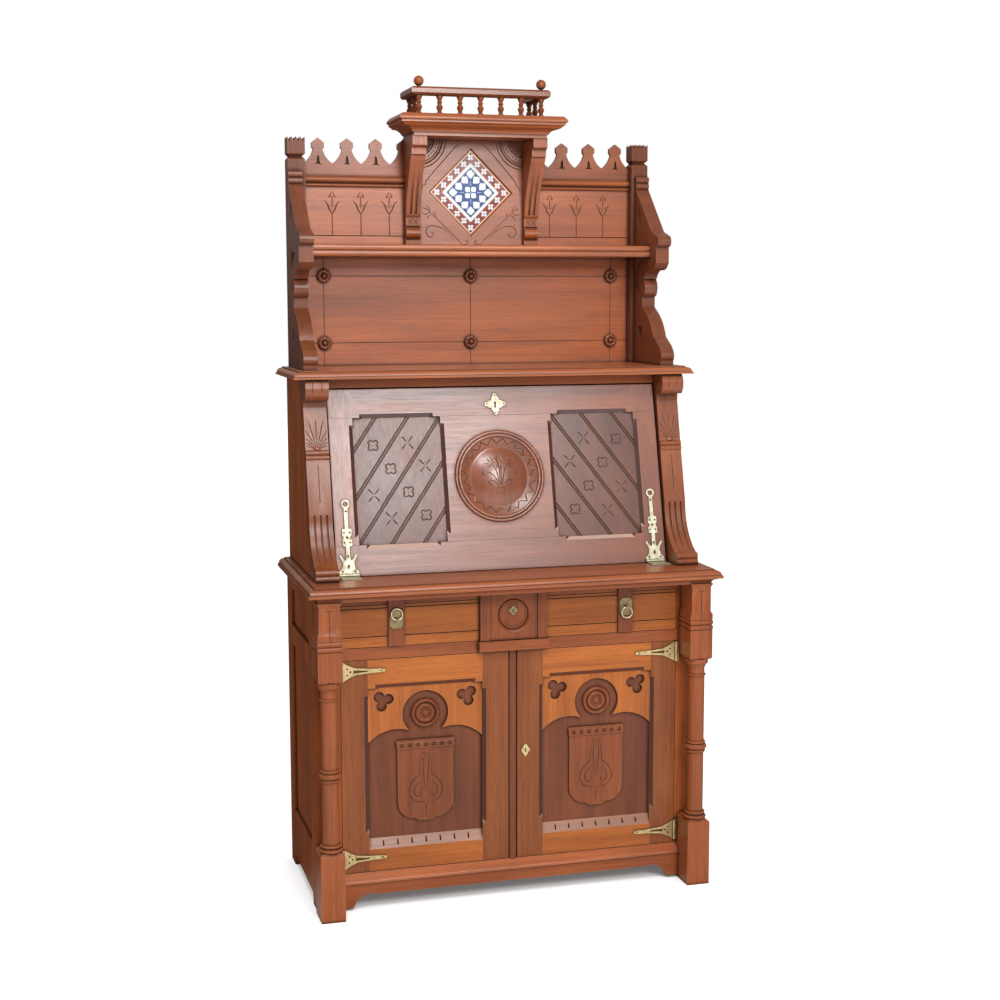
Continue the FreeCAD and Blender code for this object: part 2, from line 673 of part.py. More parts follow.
def build_desk_case():
    behind = S.fall_thick + 1
    outline = [(0, S.top_level), (fall_reach(S.top_level, behind), S.top_level),
               (fall_reach(ledge_under, behind), ledge_under), (0, ledge_under)]
    side = new_body("desk_side")
    lengthwise(side, "desk_side_outline", outline, desk_inner, desk_half)
    pair_node("desk_sides", side)
    back = slab("desk_back_board", -desk_inner, desk_inner, 0, S.back_thick, S.top_level, ledge_under)
    node("desk_back", back)


def build_lock_rail():
    top_of_fall = fall_foot + S.fall_slant * of_angle("cos", lean)
    low = top_of_fall + S.lock_rail_gap
    front = fall_reach(low)
    rear = front - S.lock_rail_deep
    stop_low = top_of_fall - S.stop_drop
    behind = S.fall_thick + S.run_gap
    stop_top = top_of_fall - S.lock_rail_gap
    profile = [
        (rear, stop_low), (fall_reach(stop_low, behind), stop_low), (fall_reach(stop_top, behind), stop_top),
        (fall_reach(stop_top, behind), low), (front, low), (front, ledge_under), (rear, ledge_under),
    ]
    rail = new_body("lock_rail_board")
    lengthwise(rail, "lock_rail_profile", profile, -console_inner, console_inner)
    node("lock_rail", rail)


def build_consoles():
    behind = S.fall_thick + 1
    bead, proud, quirk = S.console_bead, S.console_body_proud, S.console_quirk
    scroll_low = ledge_under - S.console_scroll
    collar_low = scroll_low - S.console_collar
    shell_low = collar_low - S.console_shell
    middle_bead = shell_low - bead
    bead_low = middle_bead - bead
    panel_low = bead_low - S.console_panel
    foot_top = S.top_level + S.console_foot_high
    foot_bead = S.top_level + S.console_foot_high / 2
    sweep = S.console_sweep.value

    def body_reach(level):
        return fall_reach(level) + proud

    def bead_reach(level):
        return body_reach(level) + S.console_bead_proud

    collar = fall_reach(scroll_low) + S.console_collar_proud
    scroll = S.console_scroll_reach - S.console_scroll / 4
    foot = S.console_foot_reach
    outline = [
        (fall_reach(S.top_level, behind), S.top_level), (foot, S.top_level, HALF / 2),
        (foot, foot_bead, HALF / 2), (foot - quirk, foot_top), (foot - S.console_foot_back, foot_top, -sweep),
        (body_reach(panel_low), panel_low), (body_reach(bead_low), bead_low),
        (bead_reach(bead_low), bead_low, HALF / 2), (bead_reach(middle_bead), middle_bead, HALF / 2),
        (bead_reach(shell_low), shell_low), (body_reach(shell_low), shell_low),
        (body_reach(collar_low), collar_low), (collar, collar_low), (collar, scroll_low),
        (collar - quirk, scroll_low), (scroll, scroll_low, HALF * 0.55), (scroll, ledge_under),
        (fall_reach(ledge_under, behind), ledge_under),
    ]
    console = new_body("console")
    lengthwise(console, "console_outline", outline, console_inner, desk_half)
    deep = S.console_groove_deep
    start = foot_top + quirk / 2
    groove = [
        (foot - S.console_foot_back - deep, start, -sweep), (body_reach(panel_low) - deep, panel_low),
        (body_reach(panel_low) + deep, panel_low, sweep), (foot, start),
    ]
    first = console_inner + S.console_width / 2 - S.console_groove_pitch + S.console_groove / 2
    cut = pierced(console, "console_reeds", [groove], first, S.console_groove)
    row_of(console, cut, "X_Axis", S.console_groove_pitch, 3)
    pair_node("consoles", console)


def build_pigeonholes():
    level = S.top_level + S.pigeonhole_level
    board = S.pigeonhole_board
    shelf = slab("pigeonhole_shelf", -desk_inner, desk_inner, S.back_thick, S.pigeonhole_reach, level - board,
                 level)
    count = 5
    divider = new_body("pigeonhole_divider")
    first = -S.pigeonhole_pitch * ((count - 1) / 2) - board / 2
    outline = rectangle(S.back_thick, level, S.pigeonhole_reach, ledge_under)
    upright = lengthwise(divider, "pigeonhole_divider_outline", outline, first, first + board)
    row_of(divider, upright, "X_Axis", S.pigeonhole_pitch, count)
    node("pigeonholes", group("pigeonholes_group", [shelf, divider]))


# Fall front, drawn in its own plane: reach and level are measured from its outer face and hinge line

def lay_on_slope(body):
    turn = FreeCAD.Rotation(FreeCAD.Vector(1, 0, 0), -lean.value)
    body.Placement = FreeCAD.Placement(FreeCAD.Vector(), turn)
    bind(body, "Placement.Base.y", y_at(S.fall_foot_reach))
    bind(body, "Placement.Base.z", fall_foot)
    bind(body, "Placement.Rotation.Angle", -lean)
    return body


def build_fall_frame():
    half = S.fall_width / 2
    foot = -S.fall_foot_gap
    rear_foot = foot + S.fall_thick * lean_run
    profile = [(-S.fall_thick, rear_foot), (0, foot), (0, S.fall_slant), (-S.fall_thick, S.fall_slant)]
    frame = new_body("fall_frame_board")
    lengthwise(frame, "fall_frame_profile", profile, -half, half, datum=0)
    left = S.fall_panel_spread - S.fall_panel_width / 2
    right = S.fall_panel_spread + S.fall_panel_width / 2
    top = S.fall_panel_low + S.fall_panel_high
    windows = {"right": (left, S.fall_panel_low, right, top), "left": (-right, S.fall_panel_low, -left, top)}
    openings = [rectangle(*window) for window in windows.values()]
    sunk(frame, "fall_panel_openings", openings, 0, S.fall_thick, datum=0)
    for side, window in windows.items():
        edges = ("left", "right", "low", "high")
        stop_chamfers(frame, f"fall_chamfer_{side}", window, edges, 0, datum=0)
    sketch = new_sketch(frame, "medallion_opening", "XZ_Plane", 0)
    draw_circle(sketch, 0, S.medallion_level, S.medallion_hole)
    pocket(frame, sketch, S.fall_thick)
    node("fall_frame", lay_on_slope(frame))


def build_fall_panels():
    left = S.fall_panel_spread - S.fall_panel_width / 2
    right = S.fall_panel_spread + S.fall_panel_width / 2
    low = S.fall_panel_low
    top = low + S.fall_panel_high
    face = -S.fall_panel_set
    panel = new_body("fall_panel")
    rear = face - S.fall_panel_thick
    facing(panel, "fall_panel_outline", rectangle(left, low, right, top), rear, face, datum=0)
    wide, pitch = S.fall_line_wide / 2, S.fall_groove_pitch
    lines = []
    for side in (-1, 1):
        shift = side * S.fall_groove_wide / 2 - 2 * pitch
        lines.append([(right + shift - wide, low), (right + shift + wide, low), (left + shift + wide, top),
                      (left + shift - wide, top)])
    cut = sunk(panel, "fall_panel_groove", lines, face, S.fall_groove_deep, datum=0)
    row_of(panel, cut, "X_Axis", pitch, 5)
    lay_on_slope(panel)
    pair_node("fall_panels", panel)


def build_medallion():
    ring, dish, rim = S.medallion_ring / 2, S.dish_radius, S.medallion_radius
    rear = -S.medallion_thick
    lip = (dish + rim) / 2
    plug = S.medallion_hole - S.run_gap
    crown = S.dome_rise - S.dish_deep
    profile = [
        (rear, 0), (crown, 0, cap_bulge(S.dome_rise, S.dome_radius)), (-S.dish_deep, S.dome_radius),
        (-S.dish_deep, S.dome_radius + S.run_gap), (0, dish), (ring, dish, 0.6), (ring, lip, 0.6),
        (ring, rim), (0, rim), (0, plug), (rear, plug),
    ]
    disc = new_body("medallion_disc")
    turned_facing(disc, "medallion_profile", 0, S.medallion_level, profile, datum=0)
    node("medallion", lay_on_slope(disc))


def quatrefoil(x, level, wide, high):
    """Four round lobes."""
    bulge = 1.3
    return [(x + wide, level - high, bulge), (x + wide, level + high, bulge),
            (x - wide, level + high, bulge), (x - wide, level - high, bulge)]


def keyhole(x, level):
    """A round eye with a slot below it."""
    r = S.keyhole_radius
    slot = r / 2
    return [(x - slot, level - S.keyhole_long), (x + slot, level - S.keyhole_long),
            (x + slot, level - r * 0.87, 2.7), (x - slot, level - r * 0.87)]


def build_fall_fittings():
    x = S.fall_strap_spread
    half, foot, slim = S.fall_strap_base / 2, S.fall_strap_foot, S.fall_strap_width / 2
    rest = S.hinge_barrel + S.hinge_gap
    knuckle = half / 3
    ring = S.fall_strap_ring
    neck = S.fall_strap_long - ring * 0.9
    strap = new_body("fall_strap")
    outline = [
        (x - half, rest), (x - knuckle, rest), (x - knuckle, 0), (x + knuckle, 0), (x + knuckle, rest),
        (x + half, rest), (x + half, foot, -QUARTER), (x + slim, foot + half - slim), (x + slim, neck, 4.44),
        (x - slim, neck), (x - slim, foot + half - slim, -QUARTER), (x - half, foot),
    ]
    facing(strap, "fall_strap_outline", outline, 0, S.hinge_thick, datum=0)
    sketch = new_sketch(strap, "fall_strap_eye", "XZ_Plane", S.hinge_thick)
    draw_circle(sketch, x, S.fall_strap_long, S.fall_strap_eye)
    pocket(strap, sketch, S.hinge_thick)
    barrel = new_sketch(strap, "fall_strap_barrel", "YZ_Plane", x - knuckle)
    draw_circle(barrel, -S.hinge_stand, 0, S.hinge_barrel)
    pad(strap, barrel, knuckle * 2)
    bore = new_sketch(strap, "fall_strap_bore", "YZ_Plane", x + knuckle)
    draw_circle(bore, -S.hinge_stand, 0, S.hinge_pin + S.hinge_clear)
    pocket(strap, bore, knuckle * 2)
    lay_on_slope(strap)
    plate = new_body("fall_escutcheon")
    lobe = S.escutcheon_wide * 0.55
    facing(plate, "fall_escutcheon_outline", quatrefoil(0, S.fall_lock_level, lobe, lobe), 0,
           S.escutcheon_thick, datum=0)
    hole = keyhole(0, S.fall_lock_level)
    sunk(plate, "fall_keyhole", [hole], S.escutcheon_thick, S.escutcheon_thick, datum=0)
    lay_on_slope(plate)
    node("fall_fittings", group("fall_fittings_group", [strap, both_sides(strap, "fall_strap_twin"), plate]))


def build_fall_hinge_leaves():
    x = S.fall_strap_spread
    half = S.fall_strap_base / 2
    gap = S.hinge_gap
    knuckle = half / 3 + gap
    reach = S.fall_foot_reach + S.hinge_stand * of_angle("cos", lean)
    level = fall_foot + S.hinge_stand * of_angle("sin", lean)
    clear = reach + S.hinge_barrel + gap
    front = reach + S.leaf_long
    leaf = new_body("fall_leaf")
    plan = [(x - half, reach), (x - knuckle, reach), (x - knuckle, clear), (x + knuckle, clear),
            (x + knuckle, reach), (x + half, reach), (x + half, front), (x - half, front)]
    flat(leaf, "fall_leaf_plan", plan, S.top_level, S.top_level + S.hinge_thick)
    for side, low, high in (("left", x - half, x - knuckle), ("right", x + knuckle, x + half)):
        barrel = new_sketch(leaf, f"fall_leaf_barrel_{side}", "YZ_Plane", low)
        draw_circle(barrel, y_at(reach), level, S.hinge_barrel)
        pad(leaf, barrel, high - low)
    pin = new_sketch(leaf, "fall_leaf_pin", "YZ_Plane", x - half)
    draw_circle(pin, y_at(reach), level, S.hinge_pin)
    pad(leaf, pin, S.fall_strap_base)
    pair_node("fall_hinge_leaves", leaf)


# Doors, drawn on the right-hand side

door_outer = stile_inner - S.swing_gap
door_inner = S.mullion_width / 2 + S.swing_gap
window_left = door_inner + S.door_stile
window_right = door_outer - S.door_stile
window_low = door_low + S.door_bottom_rail
window_top = door_top - S.door_top_rail
door_middle = (window_left + window_right) / 2
panel_face = S.case_face - S.door_panel_set
hinge_x = stile_inner - S.swing_gap / 2
hinge_reach = S.case_face + S.hinge_stand
hinge_levels = {"upper": door_top - S.hinge_inset, "lower": door_low + S.hinge_inset + S.hinge_tip * 2}


def build_door_frame():
    frame = new_body("door_frame_board")
    outline = rectangle(door_inner, door_low, door_outer, door_top)
    facing(frame, "door_outline", outline, door_back, S.case_face)
    window = rectangle(window_left, window_low, window_right, window_top)
    sunk(frame, "door_window", [window], S.case_face, S.door_thick)
    slope = [(panel_face, window_low), (S.case_face, window_low), (panel_face, window_low + S.door_sill_rise)]
    lengthwise(frame, "door_sill", slope, window_left, window_right)
    count = 7
    pitch = (window_right - window_left) / (count + 1)
    first = window_left + pitch - S.door_sill_groove / 2
    notch = rectangle(first, window_low + S.door_sill_rise / 4, first + S.door_sill_groove,
                      window_low + S.door_sill_rise)
    cut = sunk(frame, "door_sill_groove", [notch], S.case_face, S.door_panel_set - S.hinge_thick)
    row_of(frame, cut, "X_Axis", pitch, count)
    edges = (window_left, window_low + S.door_sill_rise, window_right, window_top)
    stop_chamfers(frame, "door_chamfer", edges, ("left", "right", "high"), S.case_face)
    return frame


def build_door_panel():
    return slab("door_panel_board", window_left, window_right, panel_face - S.door_panel_thick, panel_face,
                window_low, window_top)


def trefoil(x, level, radius, turn):
    """Three round lobes, the first at an angle in degrees."""
    bulge = 1.93
    reach = radius * 0.95
    cusps = [math.radians(turn + 60 + 120 * number) for number in range(3)]
    return [(x + reach * math.cos(cusp), level + reach * math.sin(cusp), bulge) for cusp in cusps]


def build_spandrel():
    springing = window_top - S.spandrel_drop
    lobe = window_top - S.lobe_drop
    mouth = S.lobe_half_mouth
    shoulder = lobe - mouth
    half = (window_right - window_left) / 2
    outline = [
        (door_middle - half, springing, -0.3), (door_middle - mouth, shoulder, -1 / QUARTER),
        (door_middle + mouth, shoulder, -0.3), (door_middle + half, springing),
        (door_middle + half, window_top), (door_middle - half, window_top),
    ]
    spandrel = new_body("spandrel_board")
    front = panel_face + S.spandrel_thick
    facing(spandrel, "spandrel_outline", outline, panel_face, front)
    level = window_top - S.trefoil_drop
    turns = {-1: 15, 1: 165}
    cuts = [trefoil(door_middle + side * (half - S.trefoil_inset), level, S.trefoil_radius, turn)
            for side, turn in turns.items()]
    sunk(spandrel, "spandrel_trefoils", cuts, front, S.spandrel_thick)
    return spandrel


def build_door_ornaments():
    radius, proud = S.roundel_radius, S.roundel_proud
    front = panel_face + proud
    target = [
        (panel_face, 0), (front, 0), (front, radius * 0.16), (panel_face + proud / 2, radius * 0.26),
        (panel_face + proud / 2, radius * 0.36), (front, radius * 0.46, 0.3), (front, radius * 0.62),
        (panel_face + proud / 2, radius * 0.72), (front, radius * 0.8, 0.4), (front, radius * 0.95),
        (panel_face + proud / 2, radius), (panel_face, radius),
    ]
    roundel = new_body("roundel")
    turned_facing(roundel, "roundel_profile", door_middle, window_top - S.lobe_drop, target)
    return [roundel, build_shield()]


def build_shield():
    half, foot, step = S.shield_width / 2, S.shield_foot / 2, S.shield_step
    top = window_top - S.shield_drop
    low = top - S.shield_high
    round_low, round_top = low + step, low + step + S.shield_round
    right = [(foot, low, 0), (foot + step * 1.5, round_low, QUARTER), (half, round_top, 0), (half, top, 0)]
    left = [(-half, top, 0), (-half, round_top, QUARTER), (-foot - step * 1.5, round_low, 0), (-foot, low, 0)]
    outline = [(door_middle + x, level, bulge) for x, level, bulge in right + left]
    front = panel_face + S.shield_thick
    shield = new_body("shield")
    facing(shield, "shield_outline", outline, panel_face, front)
    proud, band_low = S.shield_band_proud, top - S.shield_band
    brow = top - S.shield_band / 3
    header = [(panel_face, band_low), (front + proud, band_low), (front + proud, brow), (front - proud, top),
              (panel_face, top)]
    lengthwise(shield, "shield_header", header, door_middle - half - proud, door_middle + half + proud)
    tooth = S.shield_tooth
    count = 7
    pitch = S.shield_width / count
    first = door_middle - half + pitch / 2 - tooth / 2
    dent = rectangle(first, band_low + proud * 2, first + tooth, brow)
    cut = sunk(shield, "shield_dents", [dent], front + proud, S.shield_thick / 2)
    row_of(shield, cut, "X_Axis", pitch, count)
    return shield


def build_door_strap(place, level):
    half, tip = S.hinge_length / 2, S.hinge_tip
    gap = S.hinge_gap
    clear = hinge_x - S.hinge_barrel - gap
    end = door_outer - S.hinge_wide
    knuckle = half / 2.4
    strap = new_body(f"door_strap_{place}")
    outline = [
        (clear, level - half), (clear, level - knuckle), (hinge_x, level - knuckle),
        (hinge_x, level + knuckle), (clear, level + knuckle), (clear, level + half, -QUARTER / 2),
        (end + tip * 2, level + tip, 0.6), (end + tip * 2, level - tip, -QUARTER / 2),
    ]
    facing(strap, f"door_strap_outline_{place}", outline, S.case_face, S.case_face + S.hinge_thick)
    wide = clear - half / 2
    inner = [(wide, level - half / 3), (wide, level + half / 3), (clear - 2 * half, level)]
    sunk(strap, f"door_strap_hole_{place}", [inner], S.case_face + S.hinge_thick, S.hinge_thick)
    barrel = new_sketch(strap, f"door_strap_barrel_{place}", "XY_Plane", level - knuckle)
    draw_circle(barrel, hinge_x, y_at(hinge_reach), S.hinge_barrel)
    pad(strap, barrel, knuckle * 2)
    bore = new_sketch(strap, f"door_strap_bore_{place}", "XY_Plane", level + knuckle)
    draw_circle(bore, hinge_x, y_at(hinge_reach), S.hinge_pin + S.hinge_clear)
    pocket(strap, bore, knuckle * 2)
    return strap


def build_door_hinge_leaf(place, level):
    half = S.hinge_length / 2
    knuckle = half / 2.4 + S.hinge_gap
    edge = block_inner - S.run_gap
    leaf = new_body(f"door_leaf_{place}")
    plate = rectangle(hinge_x + S.hinge_barrel + S.hinge_gap, level - half, edge, level + half)
    facing(leaf, f"door_leaf_plate_{place}", plate, S.case_face, S.case_face + S.hinge_thick)
    for end, low, high in (("low", level - half, level - knuckle), ("high", level + knuckle, level + half)):
        arm = rectangle(hinge_x, low, edge, high)
        rear, front = S.case_face + S.hinge_gap, S.case_face + S.hinge_thick
        facing(leaf, f"door_leaf_arm_{place}_{end}", arm, rear, front)
        barrel = new_sketch(leaf, f"door_leaf_barrel_{place}_{end}", "XY_Plane", low)
        draw_circle(barrel, hinge_x, y_at(hinge_reach), S.hinge_barrel)
        pad(leaf, barrel, high - low)
    pin = new_sketch(leaf, f"door_leaf_pin_{place}", "XY_Plane", level - half)
    draw_circle(pin, hinge_x, y_at(hinge_reach), S.hinge_pin)
    pad(leaf, pin, S.hinge_length)
    return leaf


def build_doors():
    pieces = {
        "frame": build_door_frame(),
        "panel": build_door_panel(),
        "spandrel": build_spandrel(),
        "ornaments": group("door_ornaments_group", build_door_ornaments()),
    }
    for name, piece in pieces.items():
        node(f"right_door_{name}", piece)
        node(f"left_door_{name}", both_sides(piece, f"left_door_{name}_twin"))
    straps = [build_door_strap(place, level) for place, level in hinge_levels.items()]
    lock_level = (door_low + door_top) / 2 + S.door_lock_rise
    lock_x = door_inner + S.door_stile * 0.32
    wide, high = S.door_plate_wide / 2, S.door_plate_high / 2
    plate = new_body("door_escutcheon")
    diamond = [(lock_x, lock_level - high), (lock_x + wide, lock_level), (lock_x, lock_level + high),
               (lock_x - wide, lock_level)]
    front = S.case_face + S.escutcheon_thick
    facing(plate, "door_escutcheon_outline", diamond, S.case_face, front)
    sunk(plate, "door_keyhole", [keyhole(lock_x, lock_level + S.keyhole_radius)], front, S.escutcheon_thick)
    left_straps = [both_sides(strap, strap.Name + "_twin") for strap in straps]
    node("right_door_fittings", group("right_door_fittings_group", straps + [plate]))
    node("left_door_fittings", group("left_door_fittings_group", left_straps))
    leaves = [build_door_hinge_leaf(place, level) for place, level in hinge_levels.items()]
    twins = [both_sides(leaf, leaf.Name + "_twin") for leaf in leaves]
    node("door_hinge_leaves", group("door_hinge_leaves_group", leaves + twins))


# Drawer

drawer_half = stile_inner - S.swing_gap
drawer_side = drawer_half - S.drawer_side_thick
pull_spread = drawer_half - S.pull_inset
eye_level = drawer_low + S.drawer_high / 2 + S.eye_rise
strip_face = S.case_face + S.pull_strip_proud
trim_top = bed_under - S.swing_gap
lock_middle = (drawer_low + trim_top) / 2
lock_floor = S.case_face + S.lock_block_proud - S.lock_dish_deep
eye_reach = strip_face + S.plate_thick + S.eye_stand


def build_drawer_box():
    front = new_body("drawer_front_board")
    outline = rectangle(-drawer_half, drawer_low, drawer_half, drawer_top)
    facing(front, "drawer_front_outline", outline, door_back, S.case_face)
    groove = S.drawer_groove
    low = drawer_low + S.drawer_groove_rise
    high = drawer_top - S.drawer_groove_drop
    lines = [rectangle(-drawer_half, level - groove / 2, drawer_half, level + groove / 2)
             for level in (low, high)]
    sunk(front, "drawer_front_lines", lines, S.case_face, groove)
    node("drawer_front", front)
    top = drawer_low + S.drawer_side_high
    side = slab("drawer_side", drawer_side, drawer_half, S.drawer_back_reach, door_back, drawer_low, top)
    rear = S.drawer_back_reach + S.drawer_side_thick
    floor_low = drawer_low + S.drawer_bottom_thick
    back = slab("drawer_back", -drawer_side, drawer_side, S.drawer_back_reach, rear, floor_low, top)
    node("drawer_carcase", group("drawer_carcase_group", [side, both_sides(side, "drawer_side_twin"), back]))
    node("drawer_bottom", slab("drawer_bottom_board", -drawer_side, drawer_side, rear, door_back, floor_low,
                               floor_low + S.drawer_bottom_thick))


def build_drawer_trim():
    half = S.pull_strip_width / 2
    left, right = pull_spread - half, pull_spread + half
    strip = slab("pull_strip", left, right, S.case_face, strip_face, drawer_low, trim_top)
    wide = S.lock_block_width / 2
    face = S.case_face + S.lock_block_proud
    block = slab("lock_block", -wide, wide, S.case_face, face, drawer_low, trim_top)
    radius, ring = S.lock_dish_radius, lock_floor + S.lock_dish_ring
    proud = face + S.lock_dish_ring
    profile = [
        (lock_floor, 0), (proud, 0), (proud, radius), (face, radius, -0.2), (lock_floor, radius * 0.84),
        (ring, radius * 0.8), (ring, radius * 0.74), (lock_floor, radius * 0.7),
    ]
    dish = new_body("lock_dish")
    turned_facing(dish, "lock_dish_profile", 0, lock_middle, profile)
    dished = boolean("Part::Cut", "lock_block_dished", block, dish)
    post = slab("lock_post", wide, wide + S.lock_post_width, S.case_face, S.case_face + S.lock_post_proud,
                drawer_low, trim_top)
    twins = [both_sides(strip, "pull_strip_twin"), both_sides(post, "lock_post_twin")]
    node("drawer_trim", group("drawer_trim_group", [strip, dished, post] + twins))


def build_drawer_fittings():
    half = S.plate_width / 2
    middle = eye_level
    high = S.plate_high / 2
    front = strip_face + S.plate_thick
    plate = new_body("pull_plate")
    notch = half / 3
    wide, tall = half - notch, high - notch
    corners = [(-wide, -high, 0), (wide, -high, -QUARTER), (half, -tall, 0), (half, tall, -QUARTER),
               (wide, high, 0), (-wide, high, -QUARTER), (-half, tall, 0), (-half, -tall, -QUARTER)]
    outline = [(pull_spread + x, middle + level, bulge) for x, level, bulge in corners]
    facing(plate, "pull_plate_outline", outline, strip_face, front)
    post = new_sketch(plate, "pull_post", "XZ_Plane", -y_at(front))
    draw_circle(post, pull_spread, eye_level, S.eye_radius)
    pad(plate, post, S.eye_stand + S.eye_radius)
    eye = new_sketch(plate, "pull_eye", "YZ_Plane", pull_spread + half)
    draw_circle(eye, y_at(eye_reach), eye_level, S.eye_hole)
    pocket(plate, eye, S.plate_width)
    cover = new_body("drawer_escutcheon")
    level = lock_middle + S.drawer_lock_rise
    lobe = S.escutcheon_wide * 0.28
    face = lock_floor + S.escutcheon_thick
    facing(cover, "drawer_escutcheon_outline", quatrefoil(0, level, lobe, lobe), lock_floor, face)
    sunk(cover, "drawer_keyhole", [keyhole(0, level + S.keyhole_radius)], face, S.escutcheon_thick)
    pieces = [plate, both_sides(plate, "pull_plate_twin"), cover]
    node("drawer_fittings", group("drawer_fittings_group", pieces))


def build_ring(name, side, lean_back, up):
    """A ring of wire that hangs from its eye, or stands above it and leans towards the plate."""
    ring = doc.addObject("Part::Torus", name + "_wire")
    bind(ring, "Radius1", S.ring_radius)
    bind(ring, "Radius2", S.ring_wire)
    angle = as_size(90) - lean_back * up
    arm = S.ring_radius - S.ring_play
    turn = FreeCAD.Rotation(FreeCAD.Vector(1, 0, 0), angle.value)
    ring.Placement = FreeCAD.Placement(FreeCAD.Vector(), turn)
    bind(ring, "Placement.Rotation.Angle", angle)
    bind(ring, "Placement.Base.x", side * pull_spread)
    bind(ring, "Placement.Base.y", y_at(eye_reach) + arm * of_angle("sin", lean_back))
    bind(ring, "Placement.Base.z", eye_level + up * arm * of_angle("cos", lean_back))
    node(name, ring)


def build_rings():
    build_ring("ring_left", -1, S.left_ring_angle, 1)
    build_ring("ring_right", 1, S.left_ring_angle * 0, -1)


# Hutch

def build_upper_ledge():
    edge = board_edge(ledge_under, ledge_top, S.ledge_lip, S.ledge_quirk, S.ledge_round)
    node("upper_ledge", moulded("upper_ledge", 0, S.ledge_width / 2, 0, S.ledge_reach, edge))


def build_hutch_back():
    thick = S.hutch_back_thick
    back = new_body("hutch_back_board")
    facing(back, "hutch_back_outline", rectangle(-post_inner, ledge_top, post_inner, shelf_top), 0, thick)
    half = S.incised_wide / 2
    levels = [ledge_top + S.rosette_rise, ledge_top + S.rosette_rise + S.rosette_pitch]
    across = [rectangle(-post_inner, level - half, post_inner, level + half) for level in levels]
    sunk(back, "hutch_lines_across", across, thick, S.incised_deep)
    upright = [rectangle(side * S.rosette_spread - half, ledge_top, side * S.rosette_spread + half, shelf_top)
               for side in (-1, 0, 1)]
    sunk(back, "hutch_lines_upright", upright, thick, S.incised_deep)
    node("hutch_back", back)
    radius, proud = S.rosette_radius, S.rosette_proud
    knob, knob_rise = radius * 0.36, proud * 0.3
    profile = [
        (thick, 0), (thick + proud, 0, cap_bulge(knob_rise, knob)), (thick + proud - knob_rise, knob),
        (thick + proud * 0.5, radius * 0.4), (thick + proud * 0.62, radius * 0.52, 0.5),
        (thick + proud * 0.45, radius), (thick, radius * 0.85),
    ]
    rows = []
    for number, level in enumerate(levels, start=1):
        row = new_body(f"rosette_row_{number}")
        first = turned_facing(row, f"rosette_profile_{number}", -S.rosette_spread, level, profile)
        row_of(row, first, "X_Axis", S.rosette_spread, 3)
        rows.append(row)
    node("rosettes", group("rosettes_group", rows))


def build_hutch_shelf():
    shelf = new_body("hutch_shelf_board")
    front = S.hutch_shelf_reach
    half = S.hutch_shelf_thick / 2
    profile = [(S.hutch_back_thick, shelf_under), (front - half / 4, shelf_under, HALF / 2),
               (front - half / 4, shelf_under + half, HALF / 2), (front - half / 4, shelf_top),
               (S.hutch_back_thick, shelf_top)]
    lengthwise(shelf, "hutch_shelf_profile", profile, -bracket_inner, bracket_inner)
    sketch = new_sketch(shelf, "hutch_shelf_notches", "XY_Plane", shelf_top)
    for side in (-1, 1):
        low, high = sorted((side * post_inner, side * bracket_inner), key=lambda size: size.value)
        draw(sketch, rectangle(low, y_at(S.post_width), high, y_at(S.hutch_back_thick)))
    pocket(shelf, sketch, S.hutch_shelf_thick)
    node("hutch_shelf", shelf)


def build_frieze():
    board = new_body("frieze_board_board")
    thick = S.frieze_thick
    facing(board, "frieze_outline", rectangle(tile_board_half, shelf_top, post_inner, frieze_top), 0, thick)
    line = shelf_top + S.frieze_line_rise
    half = S.incised_wide / 2
    groove = rectangle(tile_board_half, line - half, post_inner, line + half)
    sunk(board, "frieze_line", [groove], thick, S.incised_deep)
    pair_node("frieze_boards", board)
    low = frieze_top - S.frieze_moulding_high
    bead, torus = S.frieze_bead, S.frieze_torus
    gap = (S.frieze_moulding_high - bead - torus) / 2
    fillet = thick + S.frieze_fillet
    crown = fillet + S.frieze_fillet
    profile = [(thick, low), (crown, low, HALF * 0.7), (crown, low + bead), (fillet, low + bead),
               (fillet, low + bead + gap), (crown, low + bead + gap, HALF * 0.8), (crown, frieze_top - gap),
               (fillet, frieze_top - gap), (fillet, frieze_top), (thick, frieze_top)]
    moulding = new_body("frieze_moulding")
    lengthwise(moulding, "frieze_moulding_profile", profile, tile_board_half, post_inner)
    pair_node("frieze_mouldings", moulding)


def finial_half(half):
    """One side of a cresting finial, from its foot to its tip, as (offset, rise, bulge)."""
    return [(half, 0, 0), (half, S.crest_valley, -0.2), (S.crest_neck, S.crest_neck_level, 0),
            (S.crest_shoulder, S.crest_shoulder_low, 0), (S.crest_shoulder, S.crest_shoulder_high, 0),
            (0, S.crest_tip, 0)]


